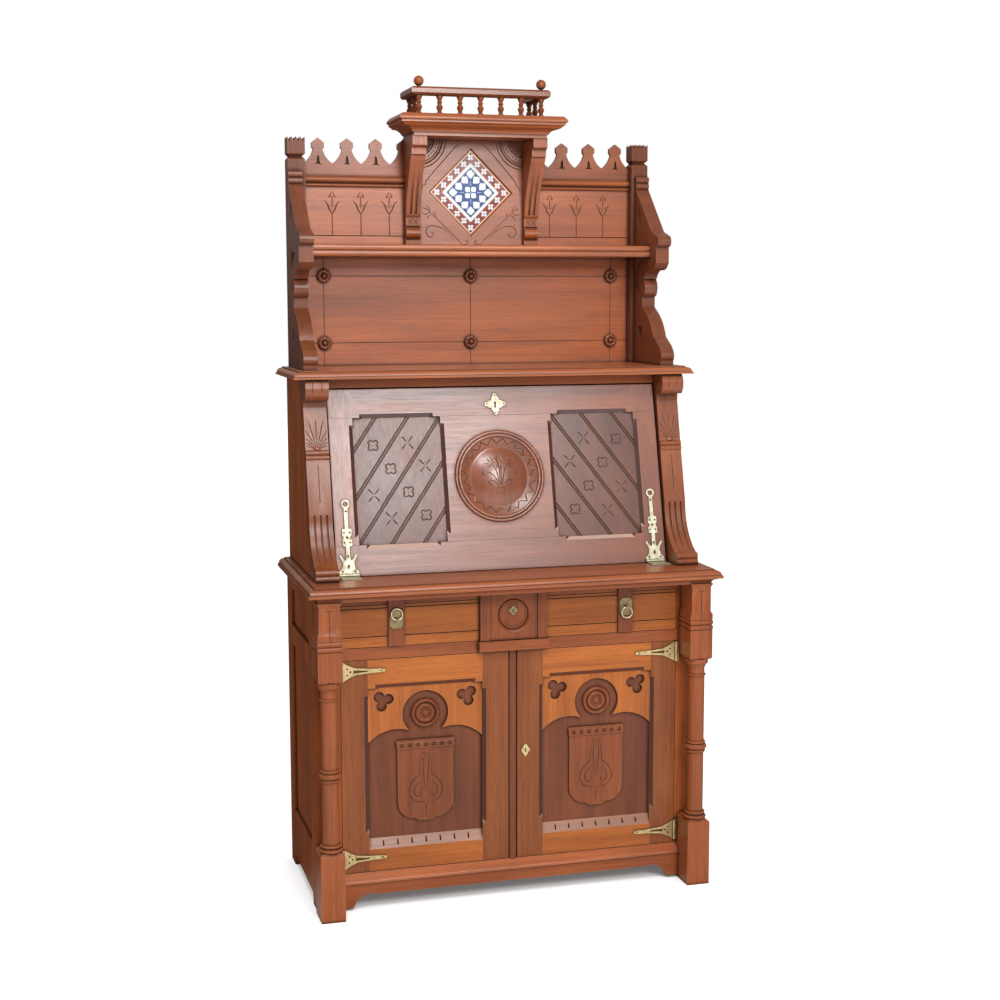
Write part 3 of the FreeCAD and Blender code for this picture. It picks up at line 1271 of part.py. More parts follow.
def build_cresting():
    count = 3
    base = frieze_top
    start = tile_board_half + S.crest_end
    pitch = (post_inner - start) / count
    half = pitch / 2
    x = start + half
    right = finial_half(half)
    arcs = [bulge for offset, rise, bulge in right]
    left = [(-offset, rise, arc) for (offset, rise, bulge), arc in zip(right, [0] + arcs)][-2::-1]
    outline = [(x + offset, base + rise, bulge) for offset, rise, bulge in right + left]
    rear, front = S.frieze_thick - S.crest_thick, S.frieze_thick
    crest = new_body("crest")
    finial = facing(crest, "crest_outline", outline, rear, front)
    row_of(crest, finial, "X_Axis", pitch, count)
    arm, waist = S.crest_hole, S.crest_hole_waist
    heart = base + S.crest_hole_level
    tip = heart - arm * 0.4
    curl = 0.12
    hole = [(x, heart + S.crest_hole_rise, curl), (x - waist, heart, -curl), (x - arm, tip, -curl),
            (x, heart - waist, -curl), (x + arm, tip, -curl), (x + waist, heart, curl)]
    cut = sunk(crest, "crest_hole", [hole], front, S.crest_thick * 0.6)
    row_of(crest, cut, "X_Axis", pitch, count)
    stub = [(0, 0, 0)] + finial_half(S.crest_end)
    end = [(tile_board_half + offset, base + rise, bulge) for offset, rise, bulge in stub]
    facing(crest, "crest_inner_end", end, rear, front)
    pair_node("cresting", crest)


def build_corner_posts():
    half = S.post_width / 2
    middle = hutch_half - half
    top = ledge_top + S.post_high
    neck = top - S.post_neck_drop
    deep = S.post_neck
    teeth = int(SIZES["crown_teeth"])
    step = S.post_width / teeth
    sides = [(half, ledge_top), (half, neck - deep), (half - deep, neck), (half, neck + deep), (half, top)]
    crown = []
    for number in range(teeth):
        right = half - step * number
        crown += [(right - step / 2, top - S.crown_tooth), (right - step, top)]
    seen = new_body("post_seen_from_front")
    left = [(-offset, level) for offset, level in sides[::-1]]
    outline = [(middle + offset, level) for offset, level in sides + crown + left[1:]]
    facing(seen, "post_front_outline", outline, 0, S.post_width)
    across = new_body("post_seen_from_side")
    front = [(S.post_width - half + offset, level) for offset, level in sides + crown]
    lengthwise(across, "post_side_outline", front + [(0, ledge_top)], middle - half, middle + half)
    pair_node("corner_posts", boolean("Part::Common", "corner_post", seen, across))


def pointed(reach, low, wide, high):
    """A leaf-shaped opening with a point at each end."""
    bulge = wide.value / high.value
    return [(reach, low, bulge), (reach, low + high, bulge)]


def build_hutch_brackets():
    rear, base = S.post_width, ledge_top
    top = base + S.bracket_high
    bead, lip, toe = S.bracket_bead, S.bracket_lip, S.bracket_toe
    foot, foot_top = S.bracket_foot, base + S.bracket_foot_high
    waist, arm = S.bracket_waist, S.bracket_arm
    waist_top = base + S.bracket_waist_high
    scroll, arm_low = base + S.bracket_scroll, base + S.bracket_arm_low
    arm_top, roll_top = base + S.bracket_arm_high, base + S.bracket_roll_high
    slope_top = top - 2 * bead - lip
    outline = [
        (rear, base), (foot, base), (foot, base + toe, 0.45), (foot, foot_top - toe), (foot - toe, foot_top),
        (S.bracket_step, base + S.bracket_step_rise, 0.17), (S.bracket_knee, base + S.bracket_knee_rise),
        (waist, base + S.bracket_waist_low), (waist, waist_top), (waist + lip, waist_top, 0.6),
        (waist + lip, scroll), (waist + 2 * lip, scroll, -0.35), (arm - 5 * lip, arm_low - 3 * lip),
        (arm - 2 * lip, arm_low - 2 * lip), (arm, arm_low), (arm, arm_top), (arm + lip, arm_top, 0.75),
        (arm + lip, roll_top), (S.bracket_brow, roll_top + 2 * lip), (S.bracket_neck, slope_top),
        (S.bracket_neck - lip, slope_top + lip, HALF * 0.6), (S.bracket_neck - lip, top - bead, HALF * 0.6),
        (S.bracket_neck - lip, top), (rear, top),
    ]
    bracket = new_body("hutch_bracket")
    lengthwise(bracket, "hutch_bracket_outline", outline, bracket_inner, hutch_half)
    web_low = base + S.web_rise
    web = [(S.web_reach, web_low), (S.web_reach + S.web_wide, web_low + S.web_high * 0.75, -0.2),
           (S.web_reach, web_low + S.web_high)]
    leaf, size = base + S.leaf_rise, S.leaf_wide / 2
    cuts = [
        pointed(S.lancet_reach, base + S.lancet_rise, S.lancet_wide, S.lancet_high), web,
        pointed(S.slit_reach, base + S.slit_rise, S.slit_wide, S.slit_high),
        [(S.leaf_reach, leaf - size, 0.8), (S.leaf_reach + size, leaf, 0.8), (S.leaf_reach, leaf + size, 0.8),
         (S.leaf_reach - size, leaf, 0.8)],
    ]
    pierced(bracket, "hutch_bracket_piercings", cuts, hutch_half, S.bracket_thick)
    pair_node("hutch_brackets", bracket)


# Tile board, cornice and gallery

tile_level = shelf_top + S.tile_rise
half_diagonal = S.tile_side / math.sqrt(2)


def diamond(level, reach_out):
    return [(0, level - reach_out), (reach_out, level), (0, level + reach_out), (-reach_out, level)]


def build_tile_board():
    board = new_body("tile_board_board")
    thick = S.tile_board_thick
    outline = rectangle(-tile_board_half, shelf_top, tile_board_half, tile_board_top)
    facing(board, "tile_board_outline", outline, 0, thick)
    sight = half_diagonal - S.tile_lap
    sunk(board, "tile_opening", [diamond(tile_level, sight)], thick, thick)
    sunk(board, "tile_rebate", [diamond(tile_level, half_diagonal + S.run_gap)], S.tile_reach, S.tile_reach)
    depth = thick - S.tile_reach
    bevel = sunk(board, "tile_bevel", [diamond(tile_level, sight + S.tile_bevel)], thick, depth)
    lean_sides(bevel, S.tile_bevel / math.sqrt(2), depth)
    node("tile_board", board)
    tile = new_body("tile_slab")
    outline = diamond(tile_level, half_diagonal)
    facing(tile, "tile_outline", outline, S.tile_reach - S.tile_thick, S.tile_reach)
    node("tile", tile)


def build_tile_brackets():
    rear, base, top = S.tile_board_thick, shelf_top, tile_board_top
    notch = S.tile_flute_deep
    foot, knee, shaft = S.tile_bracket_foot, S.tile_bracket_knee, S.tile_bracket_shaft
    collar, crown = S.tile_bracket_collar, S.tile_bracket_crown
    foot_top = base + S.tile_bracket_foot_high
    roll_low = foot_top + 2 * notch
    roll_top = roll_low + S.tile_bracket_roll
    sweep_low = base + S.tile_sweep_rise
    crown_low = top - S.tile_crown_high
    collar_top = crown_low - 2 * notch
    collar_low = collar_top - S.tile_collar_high
    sweep_top = collar_low - 2 * notch
    outline = [
        (rear, base), (foot, base), (foot, foot_top), (foot - notch, foot_top + notch),
        (foot, roll_low, HALF * 0.7), (foot, roll_top), (foot - notch, roll_top + notch),
        (foot, roll_top + 2 * notch), (foot, sweep_low - notch), (knee, sweep_low, -0.1), (shaft, sweep_top),
        (shaft, collar_low), (collar, collar_low), (collar, collar_top), (crown, crown_low), (crown, top),
        (rear, top),
    ]
    bracket = new_body("tile_bracket")
    inner = tile_board_half - S.tile_bracket_width
    lengthwise(bracket, "tile_bracket_outline", outline, inner, tile_board_half)
    low, high = sweep_low + 2 * notch, sweep_top - 2 * notch
    flute = [(knee - notch, low, -0.1), (shaft - notch, high), (shaft + notch, high, 0.1),
             (knee + notch, low)]
    first = inner + S.tile_bracket_width / 2 - S.tile_flute_pitch / 2 + S.tile_flute_wide / 2
    cut = pierced(bracket, "tile_bracket_flute", [flute], first, S.tile_flute_wide)
    row_of(bracket, cut, "X_Axis", S.tile_flute_pitch, 2)
    pair_node("tile_brackets", bracket)


def build_cornice():
    low, high = tile_board_top, cornice_top
    foot, step, bevel = S.cornice_foot, S.cornice_step, S.cornice_bevel
    fillet = low + S.cornice_fillet
    cove_top = fillet + S.cornice_cove
    bed = cove_top + step
    edge = [
        (-foot, low, 0), (-foot, fillet, 0), (step - foot, fillet, -QUARTER * 0.8), (-foot / 3, cove_top, 0),
        (step - foot / 3, bed, 0), (-step, bed + step, 0), (-step, bed + 2 * step, 0),
        (0, bed + 2.5 * step, QUARTER * 0.8), (0, high - bevel, 0), (-bevel, high, 0),
    ]
    node("cornice", moulded("cornice", 0, S.cornice_width / 2, 0, S.cornice_reach, edge))


def build_gallery():
    cut = S.gallery_chamfer
    edge = [(-cut, gallery_under, 0), (0, gallery_under + cut, 0), (0, gallery_top - cut, 0),
            (-cut, gallery_top, 0)]
    half = S.gallery_width / 2
    outer = moulded("gallery_rail", 0, half, 0, S.gallery_reach, edge)
    wide = S.gallery_rail_wide
    inner = slab("gallery_inside", wide - half, half - wide, -wide, S.gallery_reach - wide,
                 gallery_under - cut, gallery_top + cut)
    node("gallery_rail", boolean("Part::Cut", "gallery_rail_cut", outer, inner))
    belly, neck, high = S.spindle_belly, S.spindle_neck, S.spindle_high
    profile = [
        (0, 0), (belly, 0), (belly, high * 0.08), (neck, high * 0.16), (belly, high * 0.4),
        (neck, high * 0.56), (belly * 0.8, high * 0.64), (neck, high * 0.72), (belly, high * 0.92),
        (belly, high), (0, high),
    ]
    axis = S.gallery_width / 2 - wide / 2 - S.spindle_axis / 4
    pitch = axis / 3
    reach = S.gallery_reach - S.spindle_axis
    front = new_body("front_spindle")
    first = turned_upright(front, "front_spindle_profile", -axis, reach, cornice_top, profile)
    row_of(front, first, "X_Axis", pitch, 7)
    side = new_body("side_spindle")
    step = (reach - S.spindle_axis) / 2
    last = turned_upright(side, "side_spindle_profile", -axis, S.spindle_axis, cornice_top, profile)
    row_of(side, last, "X_Axis", axis * 2, 2)
    middle = new_body("middle_spindle")
    halfway = S.spindle_axis + step
    centre = turned_upright(middle, "middle_spindle_profile", -axis, halfway, cornice_top, profile)
    row_of(middle, centre, "X_Axis", axis * 2, 2)
    node("gallery_spindles", group("gallery_spindles_group", [front, side, middle]))
    ball = doc.addObject("Part::Sphere", "ball")
    bind(ball, "Radius", S.ball_radius)
    stem = doc.addObject("Part::Cylinder", "ball_stem")
    bind(stem, "Radius", S.ball_neck)
    bind(stem, "Height", S.ball_radius)
    for piece, level in ((ball, gallery_top + S.ball_radius + S.ball_lift), (stem, gallery_top)):
        bind(piece, "Placement.Base.x", axis)
        bind(piece, "Placement.Base.y", y_at(reach))
        bind(piece, "Placement.Base.z", level)
    pair_node("ball_finials", boolean("Part::Fuse", "ball_finial", stem, ball))


BUILDERS = [
    build_base_sides, build_case_boards, build_drawer_rail, build_mullion, build_sill, build_plinth_blocks,
    build_capital_blocks, build_columns, build_writing_ledge, build_desk_case, build_lock_rail,
    build_consoles, build_pigeonholes, build_fall_frame, build_fall_panels, build_medallion,
    build_fall_fittings, build_fall_hinge_leaves, build_doors, build_drawer_box, build_drawer_trim,
    build_drawer_fittings, build_rings, build_upper_ledge, build_hutch_back, build_hutch_shelf,
    build_frieze, build_cresting, build_corner_posts, build_hutch_brackets, build_tile_board,
    build_tile_brackets, build_cornice, build_gallery,
]
for builder in BUILDERS:
    builder()
doc.recompute()

failed = [thing.Label for thing in doc.Objects if {"Invalid", "Error"} & set(thing.State)]
if failed:
    raise RuntimeError("these objects failed: " + ", ".join(failed))
for name, thing in NODES.items():
    shape = thing.Shape
    if shape.isNull() or not shape.isValid() or not shape.Solids:
        raise RuntimeError("this piece has no sound shape: " + name)
os.makedirs("parts", exist_ok=True)
for name, thing in NODES.items():
    thing.Shape.exportStep(f"parts/{name}.step")
print(len(NODES), "pieces written")
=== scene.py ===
# %% [markdown]
# # A carved walnut drop front desk
# The imported model is the frame of this lesson: every board, hinge and turned column is already in it, at its
# real size and place. Blender adds what a cabinet maker would do last: the carving, the painted tile and the
# finishes. The frame is loaded first, and its box is kept for the floor's height.

# %% Load the frame
import bmesh
import bpy
import json
import math
from mathutils import Matrix, Vector
from mathutils.bvhtree import BVHTree
from mathutils.geometry import interpolate_bezier


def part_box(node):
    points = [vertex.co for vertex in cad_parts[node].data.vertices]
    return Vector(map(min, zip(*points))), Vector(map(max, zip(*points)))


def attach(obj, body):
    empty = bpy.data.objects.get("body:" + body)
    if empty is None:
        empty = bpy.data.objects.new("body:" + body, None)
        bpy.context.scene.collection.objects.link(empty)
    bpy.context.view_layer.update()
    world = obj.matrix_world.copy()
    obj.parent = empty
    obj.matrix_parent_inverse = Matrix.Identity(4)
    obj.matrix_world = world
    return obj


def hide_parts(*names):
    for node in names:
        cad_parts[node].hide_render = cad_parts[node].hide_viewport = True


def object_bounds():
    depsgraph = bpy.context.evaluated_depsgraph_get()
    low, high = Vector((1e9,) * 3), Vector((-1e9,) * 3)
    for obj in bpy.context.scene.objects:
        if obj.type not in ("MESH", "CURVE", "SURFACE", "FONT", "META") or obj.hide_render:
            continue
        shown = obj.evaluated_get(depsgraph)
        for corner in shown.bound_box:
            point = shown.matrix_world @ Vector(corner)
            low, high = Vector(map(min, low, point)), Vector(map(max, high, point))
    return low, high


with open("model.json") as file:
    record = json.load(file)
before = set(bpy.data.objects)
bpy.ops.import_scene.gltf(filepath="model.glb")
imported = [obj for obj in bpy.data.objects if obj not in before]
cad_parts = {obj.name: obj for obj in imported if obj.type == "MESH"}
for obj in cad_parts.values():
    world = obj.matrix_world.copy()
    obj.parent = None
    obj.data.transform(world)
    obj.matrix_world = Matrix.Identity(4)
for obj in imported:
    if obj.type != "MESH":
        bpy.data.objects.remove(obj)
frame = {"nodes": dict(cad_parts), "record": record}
cad_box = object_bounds()
nodes = frame["nodes"]
scene = bpy.context.scene
behaviour = frame["record"]["behaviour"]
MM = 0.001


def by_node(groups):
    """A table from each member to its group."""
    return {node: group for group, members in groups.items() for node in members}


BODY_OF = by_node(behaviour["bodies"])
SLOT_OF = {part["node"]: part["material_slot"] for part in frame["record"]["subparts"]}

# %% [markdown]
# ## Camera
# The photograph was taken from the left of the desk, a little above its middle. The camera's place, its turn
# and its focal length were fitted to the edges of the ledges and the tile, so the picture lines up with it.

# %% Camera
CAMERA_PLACE = Vector((-1.0933, -3.9102, 1.4842))
CAMERA_YAW = math.radians(15.79)
CAMERA_PITCH = math.radians(-7.33)
CAMERA_ROLL = math.radians(-0.08)
CAMERA_LENS = 58.98
SENSOR_WIDTH = 36


def placed(name, data):
    """A new object of the scene that holds a mesh, a lamp or a camera."""
    made = bpy.data.objects.new(name, data)
    scene.collection.objects.link(made)
    return made


def aimed(place, forward):
    """A place and a turn that look along a direction."""
    return Matrix.Translation(place) @ forward.to_track_quat("-Z", "Y").to_matrix().to_4x4()


camera = placed("photo_camera", bpy.data.cameras.new("photo_camera"))
camera.data.sensor_width = SENSOR_WIDTH
camera.data.lens = CAMERA_LENS
forward = Vector((math.sin(CAMERA_YAW) * math.cos(CAMERA_PITCH),
                  math.cos(CAMERA_YAW) * math.cos(CAMERA_PITCH), math.sin(CAMERA_PITCH)))
camera.matrix_world = aimed(CAMERA_PLACE, forward) @ Matrix.Rotation(CAMERA_ROLL, 4, "Z")
bpy.context.scene.camera = camera
print("camera at", tuple(CAMERA_PLACE))

# %% [markdown]
# ## Wiring nodes
# The world, the floor and every finish are networks of shader nodes. Each node and link could be asked of
# Blender one by one. A few helpers say the same in fewer words: they add a node, feed a socket from another
# node or with a plain value, and mix values and colours.

# %% Node helpers


def add(tree, kind, **settings):
    made = tree.nodes.new(kind)
    for name, value in settings.items():
        setattr(made, name, value)
    return made


def join(tree, source, target):
    """Link a socket to an input, or set a plain value on the input itself."""
    if isinstance(source, (int, float, tuple, Vector)):
        target.default_value = source
    else:
        tree.links.new(source, target)


def remap(tree, value, low, high, to_low=0.0, to_high=1.0):
    ranged = add(tree, "ShaderNodeMapRange")
    ends = {"From Min": low, "From Max": high, "To Min": to_low, "To Max": to_high, "Value": value}
    for name, source in ends.items():
        join(tree, source, ranged.inputs[name])
    return ranged.outputs["Result"]


def combine(tree, first, second, operation="ADD", clamped=False):
    made = add(tree, "ShaderNodeMath", operation=operation, use_clamp=clamped)
    join(tree, first, made.inputs[0])
    join(tree, second, made.inputs[1])
    return made.outputs[0]


def product(tree, first, second):
    return combine(tree, first, second, "MULTIPLY")


def blend_values(tree, factor, first, second):
    made = add(tree, "ShaderNodeMix")
    for socket, source in zip((0, 2, 3), (factor, first, second)):
        join(tree, source, made.inputs[socket])
    return made.outputs[0]


def blend_colours(tree, factor, first, second, mode="MIX"):
    made = add(tree, "ShaderNodeMix", data_type="RGBA", blend_type=mode)
    for socket, source in zip((0, 6, 7), (factor, first, second)):
        join(tree, source, made.inputs[socket])
    return made.outputs[2]


def place_parts(tree, kind="Object"):
    """X, Y and Z of a place or a direction on the surface."""
    parts = add(tree, "ShaderNodeSeparateXYZ")
    join(tree, add(tree, "ShaderNodeTexCoord").outputs[kind], parts.inputs[0])
    return parts.outputs


def agreement(tree, first, second):
    """How far two directions agree: 1 where they are the same."""
    aim = add(tree, "ShaderNodeVectorMath", operation="DOT_PRODUCT")
    join(tree, first, aim.inputs[0])
    join(tree, second, aim.inputs[1])
    return aim.outputs["Value"]


def new_finish(name):
    """A material, its tree and the inputs of its shader."""
    finish = bpy.data.materials.new(name)
    finish.use_nodes = True
    return finish, finish.node_tree, finish.node_tree.nodes["Principled BSDF"].inputs


print("helpers for nodes are ready")

# %% [markdown]
# ## Light and floor
# Varnished walnut shows its shape through soft reflections. A large softbox stands in front, to the right and
# high, where the leaning fall mirrors it towards the camera as a pale sheen. A weaker one below it does the
# same for the upright boards of the hutch, and a third, above, lights the domes and the rounded edges. The
# world fills the shadows, more from above than from below. The camera sees world and floor as white paper,
# and polished brass sees a bright room in front and above. The floor glows less where the desk covers it,
# which leaves a soft shadow round the feet.

# %% Studio
SOFTBOX_AIM = Vector((0.0, 0.0, 1.05))
# Place and size in metres, power in watts
SOFTBOXES = {
    "front_softbox": (Vector((0.62, -3.7, 2.72)), (1.15, 1.15), 86),
    "high_softbox": (Vector((-0.5, -2.3, 3.7)), (1.4, 0.9), 56),
    "low_softbox": (Vector((0.4, -3.75, 1.6)), (0.6, 0.7), 4),
}
# Strengths below and above, and the heights of the view between which they change
FILL, FILL_HEIGHTS = (0.16, 0.56), (-0.7, 0.9)
ROOM, ROOM_HEIGHTS = (0.03, 0.4), (-0.05, 0.2)
WHITE = (1.0, 1.0, 1.0, 1.0)


def seen_directly(tree):
    """A mask that is 1 for camera, glossy and transmitted rays."""
    rays = add(tree, "ShaderNodeLightPath").outputs
    direct = combine(tree, rays["Is Camera Ray"], rays["Is Glossy Ray"], "MAXIMUM")
    return combine(tree, direct, rays["Is Transmission Ray"], "MAXIMUM")


for name, (place, size, power) in SOFTBOXES.items():
    softbox = placed(name, bpy.data.lights.new(name, "AREA"))
    softbox.data.shape = "RECTANGLE"
    softbox.data.size, softbox.data.size_y = size
    softbox.data.energy = power
    softbox.matrix_world = aimed(place, SOFTBOX_AIM - place)

scene.view_settings.view_transform = "Standard"
scene.world = bpy.data.worlds.new("studio_white")
scene.world.use_nodes = True
tree = scene.world.node_tree
tree.nodes.clear()
height = place_parts(tree, "Generated")["Z"]
room = remap(tree, height, *ROOM_HEIGHTS, *ROOM)
seen = blend_values(tree, add(tree, "ShaderNodeLightPath").outputs["Is Glossy Ray"], 1.0, room)
fill = remap(tree, height, *FILL_HEIGHTS, *FILL)
sky = add(tree, "ShaderNodeBackground")
join(tree, WHITE, sky.inputs["Color"])
join(tree, blend_values(tree, seen_directly(tree), fill, seen), sky.inputs["Strength"])
join(tree, sky.outputs[0], add(tree, "ShaderNodeOutputWorld").inputs["Surface"])
print(len(SOFTBOXES), "softboxes and a world of", len(tree.nodes), "nodes")

# %% Floor
FLOOR_HALF = 14.0
FLOOR_GLOW, SHADOW_GLOW = 0.74, 0.15
SHADOW_REACH = 0.28
FLOOR_PALE, FLOOR_DARK = (0.86, 0.86, 0.86, 1.0), (0.05, 0.05, 0.05, 1.0)
# From here backwards, polished pieces see a dark floor
DARK_START, DARK_END = -0.6, 0.2


def mesh_of(name, bm):
    mesh = bpy.data.meshes.new(name)
    bm.to_mesh(mesh)
    bm.free()
    return mesh


bm = bmesh.new()
bmesh.ops.create_grid(bm, x_segments=1, y_segments=1, size=FLOOR_HALF)
bmesh.ops.translate(bm, verts=bm.verts, vec=(0, 0, cad_box[0][2]))
floor = placed("studio_floor", mesh_of("studio_floor", bm))

floor_paint, tree, _ = new_finish("studio_floor")
tree.nodes.clear()
behind = remap(tree, place_parts(tree)["Y"], DARK_START, DARK_END)
hidden = product(tree, behind, add(tree, "ShaderNodeLightPath").outputs["Is Glossy Ray"])
shown = combine(tree, seen_directly(tree), hidden, "SUBTRACT", True)
paint = add(tree, "ShaderNodeBsdfDiffuse")
join(tree, blend_colours(tree, hidden, FLOOR_PALE, FLOOR_DARK), paint.inputs["Color"])
covered = add(tree, "ShaderNodeAmbientOcclusion")
join(tree, SHADOW_REACH, covered.inputs["Distance"])
light = remap(tree, covered.outputs["AO"], 0.1, 0.8, SHADOW_GLOW * FLOOR_GLOW, FLOOR_GLOW)
glow = add(tree, "ShaderNodeEmission")
join(tree, product(tree, shown, light), glow.inputs["Strength"])
both = add(tree, "ShaderNodeAddShader")
join(tree, paint.outputs[0], both.inputs[0])
join(tree, glow.outputs[0], both.inputs[1])
join(tree, both.outputs[0], add(tree, "ShaderNodeOutputMaterial").inputs["Surface"])
floor.data.materials.append(floor_paint)
print("floor is", 2 * FLOOR_HALF, "m wide")

# %% [markdown]
# ## Walnut
# Walnut has long brown bands along the grain, fine darker streaks and short open pores. A photograph could
# give these, but a procedural figure fits boards of every size and needs no image. The figure is a node
# group that all the wooden finishes share: noises, each stretched along the grain by its own amount.

# %% Walnut figure group
BANDS, STREAKS, PORES = (1.6, 26, 26), (5, 170, 170), (26, 760, 760)
MOTTLE, PATCHES = (3.5, 5, 5), (2.2, 9, 9)
RED_TINGE = (0.30, 0.085, 0.025, 1.0)
PORE_DARK = (0.035, 0.014, 0.007, 1.0)
PATCH_SHADE = (0.55, 0.5, 0.5, 1.0)


def new_group(name, inputs, outputs):
    """A node group, the sockets that bring its values in and those that put them out."""
    group = bpy.data.node_groups.new(name, "ShaderNodeTree")
    for label, kind, value in inputs:
        socket = group.interface.new_socket(name=label, in_out="INPUT", socket_type=kind)
        if value is not None:
            socket.default_value = value
    for label, kind in outputs:
        group.interface.new_socket(name=label, in_out="OUTPUT", socket_type=kind)
    return group, add(group, "NodeGroupInput").outputs, add(group, "NodeGroupOutput").inputs


def stretched_noise(tree, vector, stretch, detail, low, high, distortion=0.0):
    """A noise along a vector, its values between low and high spread from 0 to 1."""
    scale = add(tree, "ShaderNodeVectorMath", operation="MULTIPLY")
    join(tree, stretch, scale.inputs[1])
    join(tree, vector, scale.inputs[0])
    noise = add(tree, "ShaderNodeTexNoise")
    for name, value in (("Scale", 1.0), ("Detail", detail), ("Distortion", distortion)):
        join(tree, value, noise.inputs[name])
    join(tree, scale.outputs[0], noise.inputs["Vector"])
    return remap(tree, noise.outputs["Fac"], low, high)


walnut_figure, figure_in, figure_out = new_group(
    "walnut_figure",
    [("Along Grain", "NodeSocketVector", None), ("Light Wood", "NodeSocketColor", None),
     ("Dark Wood", "NodeSocketColor", None)],
    [("Color", "NodeSocketColor"), ("Roughness", "NodeSocketFloat"), ("Height", "NodeSocketFloat")],
)
tree = walnut_figure
along = figure_in["Along Grain"]
bands = stretched_noise(tree, along, BANDS, 4, 0.32, 0.68, 0.8)
streaks = stretched_noise(tree, along, STREAKS, 3, 0.3, 0.7)
pores = stretched_noise(tree, along, PORES, 2, 0.57, 0.68)
mottle = stretched_noise(tree, along, MOTTLE, 3, 0.3, 0.7)
patches = stretched_noise(tree, along, PATCHES, 2, 0.35, 0.62)
figure = combine(tree, product(tree, bands, 0.55), product(tree, streaks, 0.45))
base = blend_colours(tree, figure, figure_in["Dark Wood"], figure_in["Light Wood"])
base = blend_colours(tree, remap(tree, mottle, 0, 1, 0.0, 0.22), base, RED_TINGE)
base = blend_colours(tree, remap(tree, pores, 0, 1, 0.0, 0.34), base, PORE_DARK)
base = blend_colours(tree, remap(tree, patches, 0, 1, 0.5, 0.0), base, PATCH_SHADE, "MULTIPLY")
join(tree, base, figure_out["Color"])
rough = combine(tree, remap(tree, mottle, 0, 1, 0.26, 0.34), remap(tree, streaks, 0, 1, 0.05, 0.0))
join(tree, rough, figure_out["Roughness"])
join(tree, combine(tree, product(tree, streaks, 0.3), pores, "SUBTRACT"), figure_out["Height"])
print("node group", walnut_figure.name, "has", len(walnut_figure.nodes), "nodes")

# %% [markdown]
# ## Painted shade and highlight
# Shade is painted into every corner, and the edges are painted pale: a painted highlight that also stands for
# polish rubbed thin. The corners are found with an Ambient Occlusion node, and the edges with a Bevel node,
# whose rounded normal leaves the face's own normal only near an edge. The group mixes both into any wood
# colour, so each finish gets the same painted shade and highlight.

# %% Shade and highlight group
CORNER_REACH = 10 * MM
EDGE_RADIUS = 1.6 * MM
# Painted shade, mixed into the corners
CORNER_SHADE = (0.018, 0.008, 0.005, 1.0)
# Pale colour for the edges: a painted highlight, partly also wear of the polish
WORN_EDGE_HIGHLIGHT = (0.55, 0.27, 0.13, 1.0)


def inner_corners(tree, reach, open_share, closed_share):
    """A mask of the corners that are covered within a reach."""
    occlusion = add(tree, "ShaderNodeAmbientOcclusion", samples=6)
    join(tree, reach, occlusion.inputs["Distance"])
    return remap(tree, occlusion.outputs["AO"], open_share, closed_share)


# A group that paints shade into the corners and a highlight onto the edges
shade_and_highlight, shading_in, shading_out = new_group(
    "shade_and_highlight",
    [("Color", "NodeSocketColor", None), ("Roughness", "NodeSocketFloat", 0.3),
     ("Shade_Strength", "NodeSocketFloat", 0.9), ("Wear_And_Highlight", "NodeSocketFloat", 0.3)],
    [("Color", "NodeSocketColor"), ("Roughness", "NodeSocketFloat")],
)
tree = shade_and_highlight
# The occlusion mask marks the corners for painted shade, and makes them rougher
corner = inner_corners(tree, CORNER_REACH, 0.94, 0.46)
rounded = add(tree, "ShaderNodeBevel", samples=4)
join(tree, EDGE_RADIUS, rounded.inputs["Radius"])
own_normal = add(tree, "ShaderNodeNewGeometry").outputs["Normal"]
# Edges found by the Bevel node take the painted highlight
edge = remap(tree, agreement(tree, rounded.outputs["Normal"], own_normal), 0.985, 0.90)
open_edge = product(tree, edge, remap(tree, corner, 0.0, 0.3, 1.0, 0.0))
# Painted shade in the corners
corner_shaded = blend_colours(tree, product(tree, corner, shading_in["Shade_Strength"]), shading_in["Color"], CORNER_SHADE)
# Painted highlight on the open edges, partly wear
pale_highlight = blend_colours(tree, product(tree, open_edge, shading_in["Wear_And_Highlight"]), corner_shaded, WORN_EDGE_HIGHLIGHT)
join(tree, pale_highlight, shading_out["Color"])
join(tree, combine(tree, shading_in["Roughness"], product(tree, corner, 0.5)), shading_out["Roughness"])
print("node group", shade_and_highlight.name, "has", len(shade_and_highlight.nodes), "nodes")

# %% [markdown]
# ## Finishes of the boards
# Each board is cut along its own grain: ledges and rails across the desk, stiles, sides and columns upwards.
# A Mapping node turns the figure for each board and moves it a little, so that no two boards share a pattern.
# In a framed door or fall the stiles run upwards and the rails across, so the finish compares X with the
# frame's opening and takes the matching direction. Old polish blooms: its sheen turns bluish on the fall. Shade
# is painted on the chamfers round the panels where they tilt down or aside, and a highlight where they tilt up;
# the chamfers are told from the faces by the way they lean.

# %% Wooden finishes


def srgb(red, green, blue):
    """A colour as a paint chart gives it, from 0 to 255, in Blender's linear values."""
    def linear(value):
        share = value / 255
        return share / 12.92 if share <= 0.04045 else ((share + 0.055) / 1.055) ** 2.4
    return (linear(red), linear(green), linear(blue), 1.0)


TONES = {
    "walnut": (srgb(176, 96, 52), srgb(130, 68, 38)),
    "walnut_mid": (srgb(154, 82, 44), srgb(112, 58, 34)),
    "walnut_dark": (srgb(128, 68, 40), srgb(92, 48, 30)),
    "walnut_light": (srgb(196, 112, 48), srgb(152, 82, 34)),
    "walnut_warm": (srgb(194, 106, 54), srgb(144, 75, 40)),
    "walnut_deep": (srgb(112, 59, 36), srgb(82, 43, 28)),
    "inner_wood": (srgb(150, 104, 66), srgb(112, 72, 44)),
}
TURN_TO_GRAIN = {"across": (0, 0, 0), "up": (0, math.radians(90), 0), "deep": (0, 0, math.radians(90))}
COAT_ROUGHNESS = 0.2
